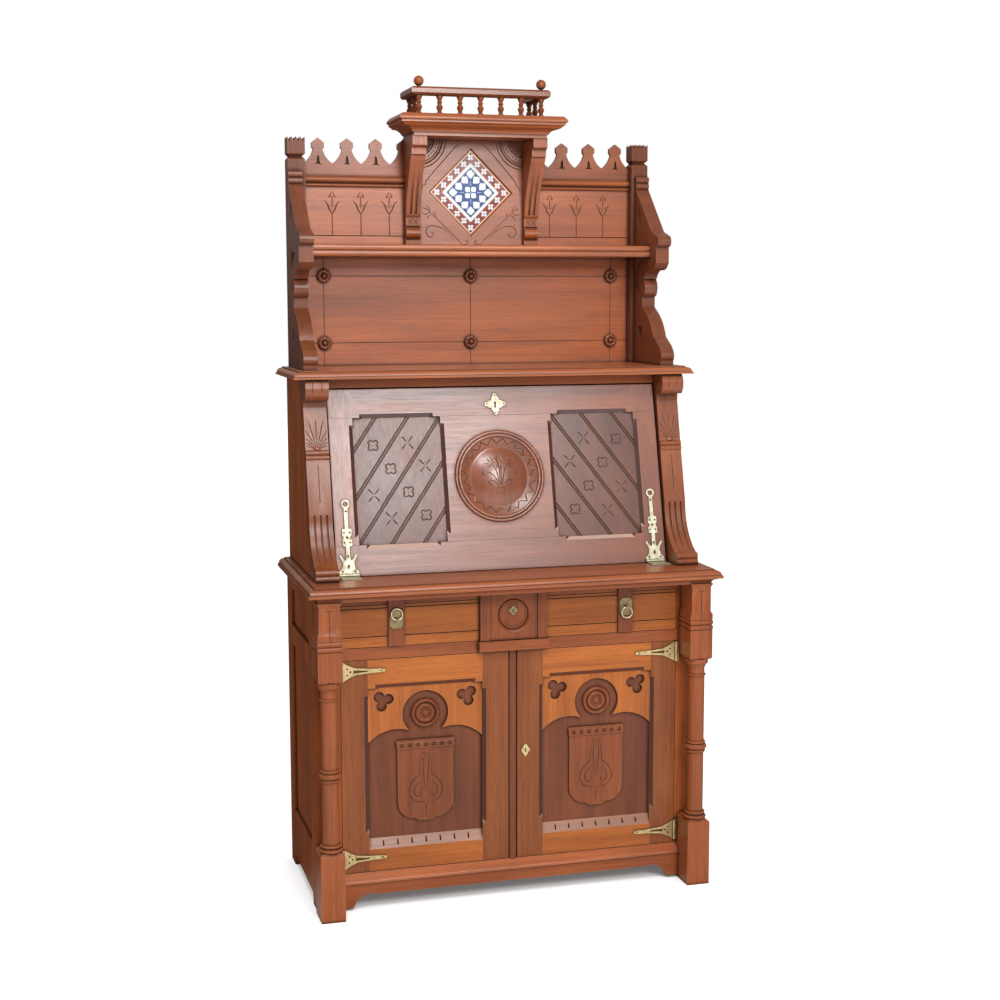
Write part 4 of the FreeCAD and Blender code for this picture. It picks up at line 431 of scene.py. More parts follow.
# Painted shade and painted highlight for the chamfers, chosen by the way they lean
CHAMFER_SHADE = (0.26, 0.19, 0.16, 1.0)
CHAMFER_HIGHLIGHT = (0.64, 0.46, 0.37, 1.0)


def grain_vector(tree, direction, shift):
    mapping = add(tree, "ShaderNodeMapping")
    join(tree, shift, mapping.inputs["Location"])
    join(tree, TURN_TO_GRAIN[direction], mapping.inputs["Rotation"])
    join(tree, add(tree, "ShaderNodeTexCoord").outputs["Object"], mapping.inputs["Vector"])
    return mapping.outputs["Vector"]


def framed_grain(tree, middle, half, shift):
    """Grain across between the stiles of a frame and upwards in them, with a mask of the stiles."""
    between = add(tree, "ShaderNodeMath", operation="COMPARE")
    for socket, source in zip(between.inputs, (place_parts(tree)["X"], middle, half)):
        join(tree, source, socket)
    choice = add(tree, "ShaderNodeMix", data_type="VECTOR")
    join(tree, between.outputs[0], choice.inputs["Factor"])
    join(tree, grain_vector(tree, "up", shift), choice.inputs[4])
    join(tree, grain_vector(tree, "across", shift), choice.inputs[5])
    return choice.outputs[1], combine(tree, 1.0, between.outputs[0], "SUBTRACT")


def bumped(tree, shader, height, strength, distance, invert=False):
    bump = add(tree, "ShaderNodeBump", invert=invert)
    for name, source in (("Strength", strength), ("Distance", distance), ("Height", height)):
        join(tree, source, bump.inputs[name])
    join(tree, bump.outputs["Normal"], shader["Normal"])


def wooden(name, tone, grain, shift, gloss, opening, stile_shade, bloom):
    finish, tree, shader = new_finish(name)
    wood = add(tree, "ShaderNodeGroup", node_tree=walnut_figure)
    for label, tint in zip(("Light Wood", "Dark Wood"), TONES[tone]):
        join(tree, tint, wood.inputs[label])
    colour = wood.outputs["Color"]
    if opening:
        vector, stiles = framed_grain(tree, *opening, shift)
        if stile_shade:
            colour = blend_colours(tree, stiles, colour, stile_shade, "MULTIPLY")
    else:
        vector = grain_vector(tree, grain, shift)
    join(tree, vector, wood.inputs["Along Grain"])
    # The group adds painted shade in the corners and a painted highlight on the edges
    shading_layer = add(tree, "ShaderNodeGroup", node_tree=shade_and_highlight)
    join(tree, colour, shading_layer.inputs["Color"])
    join(tree, wood.outputs["Roughness"], shading_layer.inputs["Roughness"])
    join(tree, shading_layer.outputs["Color"], shader["Base Color"])
    join(tree, shading_layer.outputs["Roughness"], shader["Roughness"])
    bumped(tree, shader, wood.outputs["Height"], 0.25, 0.15 * MM)
    specular, coat = gloss
    join(tree, specular, shader["Specular IOR Level"])
    join(tree, bloom, shader["Specular Tint"])
    join(tree, coat, shader["Coat Weight"])
    join(tree, COAT_ROUGHNESS, shader["Coat Roughness"])
    return finish


def shaded_chamfers(finish, normal):
    """Painted shade on the chamfers that tilt down or aside, and a painted highlight on those that tilt up."""
    tree = finish.node_tree
    base = tree.nodes["Principled BSDF"].inputs["Base Color"]
    facing = agreement(tree, add(tree, "ShaderNodeTexCoord").outputs["Normal"], normal)
    tilt = product(tree, remap(tree, facing, 0.99, 0.92), remap(tree, facing, 0.2, 0.4))
    # Chamfers that face up get the painted highlight, those that face down or aside the painted shade
    upward = remap(tree, place_parts(tree, "Normal")["Z"], 0.35, 0.6)
    pale_highlight = product(tree, product(tree, tilt, upward), 0.55)
    dark = product(tree, tilt, combine(tree, 1.0, upward, "SUBTRACT"))
    colour = blend_colours(tree, dark, base.links[0].from_socket, CHAMFER_SHADE, "MULTIPLY")
    join(tree, blend_colours(tree, pale_highlight, colour, CHAMFER_HIGHLIGHT), base)


print(len(TONES), "tones of wood")

# %% Finish of each wooden node
# Specular level and weight of the clear coat
POLISHED, BLOOMED, HAZED, RUBBED = (0.5, 0.2), (0.7, 0.0), (0.55, 0.0), (0.4, 0.05)
WAXED, DRY, DOMED = (0.25, 0.0), (0.06, 0.0), (0.6, 0.5)
GLOSS = by_node({
    POLISHED: ("cornice", "hutch_shelf", "sill_rail", "gallery_rail"),
    BLOOMED: ("fall_frame", "tile_board"),
    HAZED: ("fall_panels", "frieze_boards", "upper_ledge", "hutch_back"),
    RUBBED: ("desk_top", "consoles", "hutch_brackets", "tile_brackets", "rosettes", "cresting"),
    DRY: ("base_side_left", "base_side_right", "desk_sides", "base_back", "desk_back"),
    DOMED: ("medallion",),
})
TONE_OF = by_node({
    "walnut_dark": ("center_mullion", "corner_posts", "hutch_brackets"),
    "walnut_mid": ("left_door_ornaments", "right_door_ornaments", "fall_frame", "cresting", "consoles",
                   "rosettes", "gallery_rail", "gallery_spindles", "medallion", "drawer_trim"),
    "walnut_warm": ("hutch_back", "frieze_boards", "cornice", "hutch_shelf", "upper_ledge", "sill_rail"),
    "walnut_deep": ("fall_panels",),
})
GRAIN_OF = by_node({
    "across": ("sill_rail", "apron", "drawer_rail", "top_rail", "desk_top", "bed_moulding", "lock_rail",
               "upper_ledge", "hutch_shelf", "hutch_back", "frieze_boards", "frieze_mouldings", "cornice",
               "gallery_rail", "tile_board", "drawer_front", "desk_back", "cupboard_floor", "cupboard_shelf",
               "drawer_bottom", "fall_frame", "cresting"),
    "deep": ("drawer_runners", "drawer_carcase"),
})
BLOOM = {"fall_frame": (0.86, 0.96, 1.0, 1.0), "fall_panels": (0.9, 0.97, 1.0, 1.0)}
PANEL_OF = {"left_door_frame": "left_door_panel", "right_door_frame": "right_door_panel",
            "fall_frame": "fall_panels"}
DOOR_FRAMES = ("left_door_frame", "right_door_frame")
STILE_SHADE = dict.fromkeys(DOOR_FRAMES, (0.62, 0.62, 0.84, 1.0))
BOARD_SHIFT = (0.37, 0.11, 0.23)


def middle_of(node):
    low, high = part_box(node)
    return (low + high) / 2


def window_of(panel_node):
    """Middle and half width, across the desk, of the opening that a panel fills."""
    low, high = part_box(panel_node)
    return (low.x + high.x) / 2, (high.x - low.x) / 2


def clothe(node, finish):
    finishes[node] = finish
    piece = nodes[node]
    if not piece.material_slots:
        piece.data.materials.append(finish)
    for place in piece.material_slots:
        place.material = finish


finishes = {}
for number, (node, slot) in enumerate(sorted(SLOT_OF.items())):
    if slot in TONES:
        shift = tuple(number * step for step in BOARD_SHIFT)
        opening = window_of(PANEL_OF[node]) if node in PANEL_OF else None
        clothe(node, wooden(node, TONE_OF.get(node, slot), GRAIN_OF.get(node, "up"), shift,
                            GLOSS.get(node, WAXED), opening, STILE_SHADE.get(node), BLOOM.get(node, WHITE)))
# Painted shade and highlight on the chamfers of the door frames
for node in DOOR_FRAMES:
    shaded_chamfers(finishes[node], (0, -1, 0))
print(len(finishes), "wooden finishes")

# %% [markdown]
# ## Brass and glaze
# The straps, plates and rings are old brass: bright where hands polish it and brown in the corners. The tile
# has a clear glaze over cream clay, a little cloudy, with the fine cracks of age.

# %% Brass
# Bright and stained colour, and roughness
BRASS = {
    "pale_brass": (srgb(206, 201, 176), srgb(96, 80, 52), 0.5),
    "old_brass": (srgb(196, 174, 126), srgb(84, 62, 38), 0.36),
    "darker_brass": (srgb(142, 126, 92), srgb(66, 50, 32), 0.42),
    "bright_brass": (srgb(214, 200, 164), srgb(96, 76, 48), 0.3),
}
# The drawer plates take a darker brass than the rings
BRASS_OF = by_node({
    "pale_brass": ("fall_fittings", "fall_hinge_leaves"),
    "darker_brass": ("drawer_fittings",),
    "bright_brass": ("ring_left", "ring_right"),
})
BRASS_CLOUD = (90, 90, 90)
STAIN_REACH = 4 * MM


def brass_finish(name, bright, brown, roughness):
    finish, tree, shader = new_finish(name)
    place = add(tree, "ShaderNodeTexCoord").outputs["Object"]
    cloud = stretched_noise(tree, place, BRASS_CLOUD, 4, 0.35, 0.7)
    corner = inner_corners(tree, STAIN_REACH, 0.9, 0.4)
    stain = combine(tree, product(tree, cloud, 0.35), corner, "MAXIMUM")
    join(tree, blend_colours(tree, stain, bright, brown), shader["Base Color"])
    join(tree, remap(tree, cloud, 0, 1, roughness, roughness + 0.16), shader["Roughness"])
    join(tree, 1.0, shader["Metallic"])
    return finish


brasses = {name: brass_finish(name, *looks) for name, looks in BRASS.items()}
for node, slot in SLOT_OF.items():
    if slot == "brass":
        clothe(node, brasses[BRASS_OF.get(node, "old_brass")])
print("own brass on", len(BRASS_OF), "nodes, old brass on the rest")

# %% Glaze
GLAZES = {
    "cream": (srgb(236, 218, 176), srgb(206, 178, 130)),
    "red": (srgb(146, 44, 32), srgb(104, 34, 26)),
    "brown": (srgb(92, 44, 36), srgb(66, 34, 28)),
    "blue": (srgb(0, 56, 128), srgb(0, 36, 88)),
    "navy": (srgb(16, 36, 70), srgb(12, 26, 52)),
    "white": (srgb(224, 233, 238), srgb(190, 204, 214)),
    "sky": (srgb(132, 160, 206), srgb(104, 134, 184)),
}
GLAZE_CLOUD, CRACK_SCALE = (120, 120, 120), 190


def glaze_finish(name, colour, worn_colour):
    """A glossy glaze with cloudy colour and fine cracks."""
    finish, tree, shader = new_finish(name)
    place = add(tree, "ShaderNodeTexCoord").outputs["Object"]
    cloud = stretched_noise(tree, place, GLAZE_CLOUD, 3, 0.35, 0.7)
    cracks = add(tree, "ShaderNodeTexVoronoi", feature="DISTANCE_TO_EDGE")
    join(tree, CRACK_SCALE, cracks.inputs["Scale"])
    join(tree, place, cracks.inputs["Vector"])
    crack = remap(tree, cracks.outputs["Distance"], 0.0, 0.035, 1.0, 0.0)
    stain = combine(tree, product(tree, cloud, 0.45), product(tree, crack, 0.3), "MAXIMUM")
    join(tree, blend_colours(tree, stain, colour, worn_colour), shader["Base Color"])
    join(tree, remap(tree, cloud, 0, 1, 0.16, 0.3), shader["Roughness"])
    bumped(tree, shader, crack, 0.2, 0.1 * MM, True)
    return finish


glazes = {name: glaze_finish(name + "_glaze", *colours) for name, colours in GLAZES.items()}
clothe("tile", glazes["cream"])
print(len(glazes), "glazes; the tile has its cream ground")

# %% [markdown]
# ## Carving tools
# The real desk is carved by hand: a gouge takes a thin stroke out of the board and leaves a round groove. A
# bump map could only pretend that. Here each stroke is a line of control points, drawn on the face of a board
# as if on paper. It is laid on the real surface by casting a ray at each point, a tube grows along it, and a
# Boolean takes the tube out of a merged copy of the board, which then stands for the board.

# %% Strokes on a face
PATH_STEPS = 7
front_view = Matrix(((1, 0, 0, 0), (0, 0, -1, 0), (0, 1, 0, 0), (0, 0, 0, 1)))


def smooth_line(points, closed=False):
    """Points of a smooth line through the control points, with their share of the way along it."""
    flat = [Vector((u, v, 0)) for u, v in points]
    if len(flat) == 2:
        shares = [step / PATH_STEPS for step in range(PATH_STEPS + 1)]
        return [(flat[0].lerp(flat[1], share), share) for share in shares]
    count = len(flat)
    last = count if closed else count - 1
    line = []
    for index in range(last):
        here, there = flat[index], flat[(index + 1) % count]
        before = flat[index - 1] if index or closed else here
        after = flat[(index + 2) % count] if closed or index + 2 < count else there
        leave, arrive = here + (there - before) / 6, there - (after - here) / 6
        bend = interpolate_bezier(here, leave, arrive, there, PATH_STEPS)
        kept = bend if index == last - 1 and not closed else bend[:-1]
        line += [(point, (index + step / PATH_STEPS) / last) for step, point in enumerate(kept)]
    return line


def swell(radii, share):
    """Radius of a stroke from its radius at the start, at the middle and at the end."""
    start, middle, end = radii
    bow = 4 * share * (1 - share)
    return start + (end - start) * share + (middle - (start + end) / 2) * bow


def mirrored(strokes):
    return strokes + [([(-u, v) for u, v in points], radii, closed) for points, radii, closed in strokes]


def moved(strokes, across, up):
    return [([(u + across, v + up) for u, v in points], radii, closed) for points, radii, closed in strokes]


def at_both_sides(strokes, across):
    return moved(strokes, across, 0) + moved(strokes, -across, 0)


def stroke(points, radii=(1.0, 1.0, 1.0), closed=False):
    return [(points, radii, closed)]


def dot(u, v, radius):
    return stroke([(u - radius / 3, v), (u + radius / 3, v)], (radius * 0.7, radius, radius * 0.7))


def polar(radius, angle):
    return radius * math.cos(angle), radius * math.sin(angle)


print("a stroke has", PATH_STEPS, "steps between its control points")

# %% Boolean carving
GOUGE_SCALE = 1.2
MERGE_DISTANCE = 0.002 * MM
FLAT_ANGLE = math.radians(0.3)
SHARP_ANGLE = 35
RAY_START = 0.5


def merged_copy(node):
    """A bmesh of a CAD node with its loose triangles joined into whole faces."""
    bm = bmesh.new()
    bm.from_mesh(nodes[node].data)
    bmesh.ops.remove_doubles(bm, verts=bm.verts, dist=MERGE_DISTANCE)
    bmesh.ops.dissolve_limit(bm, angle_limit=FLAT_ANGLE, verts=bm.verts, edges=bm.edges)
    return bm


def surface_of(node):
    """The surface of a node, for rays."""
    bm = merged_copy(node)
    surface = BVHTree.FromBMesh(bm)
    bm.free()
    return surface


def lay_on(surface, view, point):
    """The point of a board under a point of the drawing, with the view's normal looking at it."""
    normal = view.to_3x3() @ Vector((0, 0, 1))
    above = view @ (point * MM) + normal * RAY_START
    return surface.ray_cast(above, -normal)[0]


def stroke_tubes(name, strokes, surface, view):
    curve = bpy.data.curves.new(name, "CURVE")
    curve.dimensions = "3D"
    curve.bevel_depth = GOUGE_SCALE * MM
    curve.bevel_resolution = 1
    curve.use_fill_caps = True
    for points, radii, closed in strokes:
        line = smooth_line(points, closed)
        laid = [(lay_on(surface, view, point), swell(radii, share)) for point, share in line]
        laid = [(place, radius) for place, radius in laid if place is not None]
        spline = curve.splines.new("POLY")
        spline.points.add(len(laid) - 1)
        spline.use_cyclic_u = closed
        for knot, (place, radius) in zip(spline.points, laid):
            knot.co = (*place, 1)
            knot.radius = radius
    holder = bpy.data.objects.new(name, curve)
    mesh = bpy.data.meshes.new_from_object(holder)
    bpy.data.objects.remove(holder)
    return mesh


def shade_by_angle(mesh, degrees=SHARP_ANGLE):
    mesh.polygons.foreach_set("use_smooth", [True] * len(mesh.polygons))
    mesh.set_sharp_from_angle(angle=math.radians(degrees))


def worked_copy(node, tools, sharp=SHARP_ANGLE):
    """A copy of a node that stands for it, after a Boolean with each tool mesh."""
    mesh = mesh_of(node + "_carved", merged_copy(node))
    if "custom_normal" in mesh.attributes:
        mesh.attributes.remove(mesh.attributes["custom_normal"])
    piece = placed(node + "_carved", mesh)
    holders = [placed(tool.name, tool) for tool, _ in tools]
    for holder, (tool, operation) in zip(holders, tools):
        cut = piece.modifiers.new(tool.name, "BOOLEAN")
        cut.object = holder
        cut.operation = operation
        cut.solver = "EXACT"
        cut.use_self = True
    bpy.context.view_layer.update()
    worked = bpy.data.meshes.new_from_object(piece.evaluated_get(bpy.context.evaluated_depsgraph_get()))
    piece.modifiers.clear()
    piece.data = worked
    for holder in holders:
        bpy.data.objects.remove(holder)
    worked.materials.clear()
    worked.materials.append(finishes[node])
    shade_by_angle(worked, sharp)
    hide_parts(node)
    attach(piece, BODY_OF[node])
    print(node, "worked over,", len(worked.polygons), "faces")
    return piece


def carve(node, strokes, view, sharp=SHARP_ANGLE, surface=None):
    """A copy of a node with gouge strokes cut into it, laid on its own surface unless another is given."""
    tubes = stroke_tubes(node + "_tubes", strokes, surface or surface_of(node), view)
    return worked_copy(node, [(tubes, "DIFFERENCE")], sharp)


print("a stroke of radius 1 cuts", GOUGE_SCALE, "mm deep")

# %% [markdown]
# ## Tulips of the frieze
# Three tulips grow from an incised line on each side of the tile: a stem, two leaves that swell and taper
# like a gouge cut, and an arrow-shaped bud.

# %% Frieze tulips
TULIP_PLACES = (213.6, 287.0, 360.3)
TULIP_BASE, TULIP_FORK, TULIP_LEAF, TULIP_TOP = 1619, 1673, 1706, 1729
LINE_ENDS = (181, 424)


def tulip(x):
    leaf = [(0, TULIP_FORK), (8, TULIP_FORK + 13), (12, TULIP_LEAF - 9), (20, TULIP_LEAF)]
    half = stroke(leaf, (1.3, 1.9, 0.4))
    half += stroke([(0, TULIP_TOP), (4, TULIP_TOP - 6), (8, TULIP_TOP - 14)], (0.5, 1.1, 1.7))
    half += stroke([(8, TULIP_TOP - 14), (2, TULIP_TOP - 11)], (1.5, 1.0, 0.5))
    half += stroke([(6, TULIP_LEAF - 10), (2.5, TULIP_LEAF - 15)], (1.3, 0.9, 0.4))
    stem = stroke([(0, TULIP_BASE), (0, TULIP_FORK)], (1.5, 1.4, 1.4))
    dart = stroke([(0, TULIP_FORK + 11), (0, TULIP_TOP - 11)], (0.4, 1.5, 1.0))
    return moved(mirrored(half) + stem + dart, x, 0)


frieze = mirrored(stroke([(end, TULIP_BASE) for end in LINE_ENDS]))
for x in TULIP_PLACES:
    frieze += tulip(x) + tulip(-x)
carve("frieze_boards", frieze, front_view)

# %% [markdown]
# ## Flowers and crosses of the fall
# The two panels of the fall are darker boards with diagonal lines. A row of flowers runs down the other
# diagonal, with crosses on both sides of it. The drawing is made on the leaning plane, measured from the
# panel's own largest face, and the right panel mirrors the left one.

# %% Fall panels
bm = merged_copy("fall_panels")
panel_face = max((f for f in bm.faces if f.normal.y < -0.5), key=lambda f: f.calc_area())
fall_normal = panel_face.normal.copy()
panel_point = panel_face.calc_center_median()
bm.free()
fall_across = Vector((1, 0, 0))
fall_up = fall_normal.cross(fall_across)
fall_turn = Matrix((fall_across, fall_up, fall_normal)).transposed().to_4x4()
fall_joint = next(joint for joint in behaviour["joints"] if joint["name"] == "fall_hinge")
fall_view = Matrix.Translation(Vector(fall_joint["pos_m"])) @ fall_turn


def on_fall(node):
    """Middle of a node on the leaning plane, in millimetres across and up from the hinge."""
    flat = fall_view.inverted() @ middle_of(node)
    return flat.x / MM, flat.y / MM


def drawn(node, view):
    """The vertices of a node in a drawing: millimetres across, up and out."""
    flatten = view.inverted()
    return [flatten @ vertex.co / MM for vertex in nodes[node].data.vertices]


PANEL_STEP = (40.6, -58.1)
CROSS_ASIDE = (45.4, 63.3)
LOBE_OUT, LOBE_RADIUS, LOBE_SPREAD = 8.3, 6.2, 103
CROSS_HALF = (13.5, 15.0)


def lobed_line(lobes, out, radius, spread, turn=0, steps=5):
    """Points of a closed line of round lobes; angles in degrees."""
    points = []
    for lobe in range(lobes):
        axis = turn + 360 * lobe / lobes
        for step in range(steps):
            u, v = polar(out, math.radians(axis))
            aside, up = polar(radius, math.radians(axis - spread + 2 * spread * step / (steps - 1)))
            points.append((u + aside, v + up))
    return points


def flower():
    ring = stroke(lobed_line(4, LOBE_OUT, LOBE_RADIUS, LOBE_SPREAD, 45), (1.6, 1.6, 1.6), True)
    return ring + dot(0, 0, 1.8)


def cross():
    wide, high = CROSS_HALF
    return mirrored(stroke([(1.5, 1.7), (wide, high)], (0.7, 1.5, 1.6))
                    + stroke([(1.5, -1.7), (wide, -high)], (0.7, 1.5, 1.6)))


PANEL_MIDDLE_X = -251.5
PANEL_HALF = (109.5, 155)
LINE_PITCH, LINE_ASIDE = 81, 3.5


def clipped(points, u):
    """The point of a straight line that has the given place across."""
    (u0, v0), (u1, v1) = points
    return u, v0 + (v1 - v0) * (u - u0) / (u1 - u0)


panel_up = on_fall("fall_panels")[1]
panel_strokes = []
for row in (-1.5, -0.5, 0.5, 1.5):
    panel_strokes += moved(flower(), row * PANEL_STEP[0], row * PANEL_STEP[1])
for side in (-1, 1):
    for half in (-0.5, 0.5):
        across = side * CROSS_ASIDE[0] + half * PANEL_STEP[0]
        up = side * CROSS_ASIDE[1] + half * PANEL_STEP[1]
        panel_strokes += moved(cross(), across, up)
for line in range(-2, 3):
    for side in (-1, 1):
        foot = line * LINE_PITCH + side * LINE_ASIDE - PANEL_HALF[0]
        head = foot + 2 * PANEL_HALF[0]
        points = [(foot, -PANEL_HALF[1]), (head, PANEL_HALF[1])]
        inside = [clipped(points, u) for u in (-PANEL_HALF[0], PANEL_HALF[0])]
        low_end = inside[0] if foot < -PANEL_HALF[0] else points[0]
        high_end = inside[1] if head > PANEL_HALF[0] else points[1]
        panel_strokes += stroke([low_end, high_end], (2.0, 2.0, 2.0))
panel_level = (fall_view.inverted() @ panel_point).z
corners = [fall_view @ Vector((u, v, panel_level)) for u, v in ((-1, -1), (1, -1), (1, 1), (-1, 1))]
panel_plane = BVHTree.FromPolygons(corners, [(0, 1, 2, 3)])
carve("fall_panels", mirrored(moved(panel_strokes, PANEL_MIDDLE_X, panel_up)), fall_view,
      surface=panel_plane)

# %% [markdown]
# ## Joints of the fall
# Where the fall's rails meet its stiles, old glue lines show as hairlines, and a keyhole goes in behind the
# lock plate. They are carved like the rest, as very thin strokes. The frame's chamfers are flat and lean only
# a little, so the shading treats every small angle as an edge.

# %% Fall frame
FRAME_HALF, JOINT = 416, (0.45, 0.45, 0.45)
LOCK_REACH = 60
CHAMFER_ANGLE = 6
joints = []
for side in (-1, 1):
    level = panel_up + side * PANEL_HALF[1]
    inner, outer = -PANEL_MIDDLE_X - PANEL_HALF[0], -PANEL_MIDDLE_X + PANEL_HALF[0]
    joints += stroke([(0, level), (inner, level)], JOINT)
    joints += stroke([(outer, level), (FRAME_HALF, level)], JOINT)
fall_brass = drawn("fall_fittings", fall_view)
lock_heights = [p.y for p in fall_brass if abs(p.x) < LOCK_REACH]
lock_level = (min(lock_heights) + max(lock_heights)) / 2
keyhole = dot(0, lock_level + 3, 3.0) + stroke([(0, lock_level + 2), (0, lock_level - 9)], (1.8, 1.8, 1.8))
# Painted shade and highlight on the chamfers of the fall frame
shaded_chamfers(finishes["fall_frame"], fall_normal)
carve("fall_frame", mirrored(joints) + keyhole, fall_view, CHAMFER_ANGLE)

# %% [markdown]
# ## Medallion
# The dome in the middle of the fall carries a tied bouquet, and its hollow rim a zigzag. The rays lay the
# strokes on the dome and down into the rim, so the same flat drawing follows the turned shape.

# %% Medallion bouquet
ZIGZAG_TEETH = 20
ZIGZAG_RADII = (80, 94)
zigzag = []
for tooth in range(ZIGZAG_TEETH):
    start = math.tau * tooth / ZIGZAG_TEETH
    foot, next_foot = (polar(ZIGZAG_RADII[0], start + turn) for turn in (0, math.tau / ZIGZAG_TEETH))
    peak = polar(ZIGZAG_RADII[1], start + math.pi / ZIGZAG_TEETH)
    zigzag += stroke([foot, peak], (1.4, 1.6, 1.4)) + stroke([peak, next_foot], (1.4, 1.6, 1.4))

bouquet_half = (
    stroke([(1.5, -24), (2.5, 0), (3, 22), (8, 38), (14, 45)], (0.7, 1.4, 0.5))
    + stroke([(4, -24), (7, -2), (12, 16), (19, 28)], (0.7, 1.3, 0.5))
    + stroke([(6, -24), (12, -8), (22, 4), (33, 8)], (0.7, 1.3, 0.5))
    + stroke([(8, -25), (16, -15), (26, -13), (30, -19), (24, -23), (19, -19)], (0.8, 1.4, 0.5))
    + stroke([(19, 28), (25, 34), (31, 42)], (0.5, 1.4, 0.4))
    + stroke([(20, 26), (28, 28), (38, 30)], (0.5, 1.5, 0.4))
    + stroke([(19, 25), (27, 22), (37, 18)], (0.5, 1.4, 0.4))
    + stroke([(17, 30), (18, 37), (22, 45)], (0.5, 1.3, 0.4))
    + stroke([(33, 8), (40, 11), (44, 7), (40, 1), (34, 3)], (0.6, 1.4, 0.5))
    + stroke([(3, 30), (7, 24), (9, 16)], (0.4, 1.1, 0.4))
    + stroke([(0, 53), (5, 47), (7, 39), (3, 30)], (0.4, 1.3, 0.5))
    + stroke([(10, -30), (9, -44)], (0.8, 0.9, 0.8))
)
bouquet = mirrored(bouquet_half)
bouquet += stroke([(0, -24), (0, 4), (0, 24)], (0.6, 1.3, 0.4))
bouquet += stroke([(-10, -30), (0, -31), (10, -30)], (0.9, 0.9, 0.9))
bouquet += stroke([(-9, -44), (0, -45), (9, -44)], (0.9, 0.9, 0.9))
carve("medallion", moved(zigzag + bouquet, *on_fall("medallion")), fall_view)

# %% [markdown]
# ## Inlay tools
# The tile's pattern and the barbs of the straps are thin flat shapes. A texture could colour the tile, but
# the real glaze lies in raised fields between clay ridges, so each field is a plate of its own: an outline of
# a few vertices becomes a face, and the face is extruded by a fraction of a millimetre.

# %% Plates


def thicken(bm, faces, rise):
    """Extrude faces into plates."""
    grown = bmesh.ops.extrude_face_region(bm, geom=faces)
    top = [part for part in grown["geom"] if isinstance(part, bmesh.types.BMVert)]
    bmesh.ops.translate(bm, verts=top, vec=rise)


def plates_mesh(name, outlines, low, high, view):
    """Plates between two heights over a drawing plane."""
    bm = bmesh.new()
    rise = view.to_3x3() @ Vector((0, 0, (high - low) * MM))
    for outline in outlines:
        corners = [bm.verts.new(view @ (Vector((u, v, low)) * MM)) for u, v in outline]
        thicken(bm, [bm.faces.new(corners)], rise)
    bmesh.ops.recalc_face_normals(bm, faces=bm.faces)
    return mesh_of(name, bm)


def new_piece(name, mesh, finish, host):
    """A piece of its own that rides with a node, with the finish it is given."""
    piece = placed(name, mesh)
    mesh.materials.append(finish)
    shade_by_angle(mesh)
    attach(piece, BODY_OF[host])
    print(name, "rides on", BODY_OF[host], "with", len(mesh.polygons), "faces")
    return piece


def turned(outline, degrees, across=0.0, up=0.0):
    cos, sin = polar(1.0, math.radians(degrees))
    return [(u * cos - v * sin + across, u * sin + v * cos + up) for u, v in outline]


def circle(radius, across=0.0, up=0.0, count=12):
    return turned([polar(radius, math.tau * step / count) for step in range(count)], 0, across, up)


def square(half):
    return [(-half, -half), (half, -half), (half, half), (-half, half)]


print("plates are ready")

# %% [markdown]
# ## Painted tile
# The tile stands on its corner. From the edge inwards it has a cream rim, a red band with twenty small
# flowers, a white band, and a blue field with twelve white leaves round a flower of four petals. The drawing
# plane is turned by 45 degrees, so everything on it is drawn square.

# %% Tile ground
RED_OUTER, RED_INNER = 72.8, 53.3
WHITE_OUTER = 52.3
BLUE_HALF, EDGE_INNER = 45.3, 42.6
# Heights over the tile's face
GROUND, MOTIF, RAISED = (-0.3, 0.35), (0.1, 0.6), (0.3, 0.75)
tile_middle = middle_of("tile")
tile_place = Matrix.Translation((tile_middle.x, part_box("tile")[0].y, tile_middle.z))
tile_view = tile_place @ front_view @ Matrix.Rotation(math.radians(45), 4, "Z")


def square_band(name, outer, inner, heights):
    """A square frame: a grid face, inset, its middle taken out, and the rest extruded."""
    bm = bmesh.new()
    bmesh.ops.create_grid(bm, x_segments=1, y_segments=1, size=outer * MM)
    bmesh.ops.inset_region(bm, faces=bm.faces[:], thickness=(outer - inner) * MM, use_boundary=True,
                           use_even_offset=True)
    middle = min(bm.faces, key=lambda face: face.calc_center_median().length)
    bmesh.ops.delete(bm, geom=[middle], context="FACES")
    thicken(bm, bm.faces[:], (0, 0, (heights[1] - heights[0]) * MM))
    bmesh.ops.translate(bm, verts=bm.verts, vec=(0, 0, heights[0] * MM))
    bmesh.ops.transform(bm, matrix=tile_view, verts=bm.verts)
    bmesh.ops.recalc_face_normals(bm, faces=bm.faces)
    return mesh_of(name, bm)


def on_tile(name, outlines, heights, glaze):
    return new_piece(name, plates_mesh(name, outlines, *heights, tile_view), glazes[glaze], "tile")


TILE_BANDS = {
    "tile_red_band": (RED_OUTER, RED_INNER, "red"),
    "tile_blue_edge": (BLUE_HALF, EDGE_INNER, "navy"),
    "tile_white_band": (WHITE_OUTER, BLUE_HALF, "white"),
}
for name, (outer, inner, glaze) in TILE_BANDS.items():
    new_piece(name, square_band(name, outer, inner, GROUND), glazes[glaze], "tile")
on_tile("tile_blue_field", [square(EDGE_INNER)], GROUND, "blue")

# %% Tile motifs
FLOWER_LINE, FLOWER_PITCH = 63.05, 25.22
FLOWER_PETAL = [(1.2, -0.9), (4.2, -3.1), (7.8, -2.6), (8.6, 0), (7.8, 2.6), (4.2, 3.1), (1.2, 0.9)]
LEAF_SIDE = [(5.0, -6.2), (9.4, -1.2), (10.2, 3.0), (8.4, 5.8), (5.2, 5.8), (5.4, 8.2), (3.2, 10.2)]
LEAF = [(0, -11.4)] + LEAF_SIDE + [(0, 11.2)] + [(-u, v) for u, v in reversed(LEAF_SIDE)]
ROUNDED_PETAL = [(-6.4, -4.4), (-4.4, -6.4), (4.4, -6.4), (6.4, -4.4), (6.4, 4.4), (4.4, 6.4), (-4.4, 6.4),
                 (-6.4, 4.4)]
LEAF_NEAR, LEAF_FAR, PETAL_OUT = 11.4, 32.4, 11.2

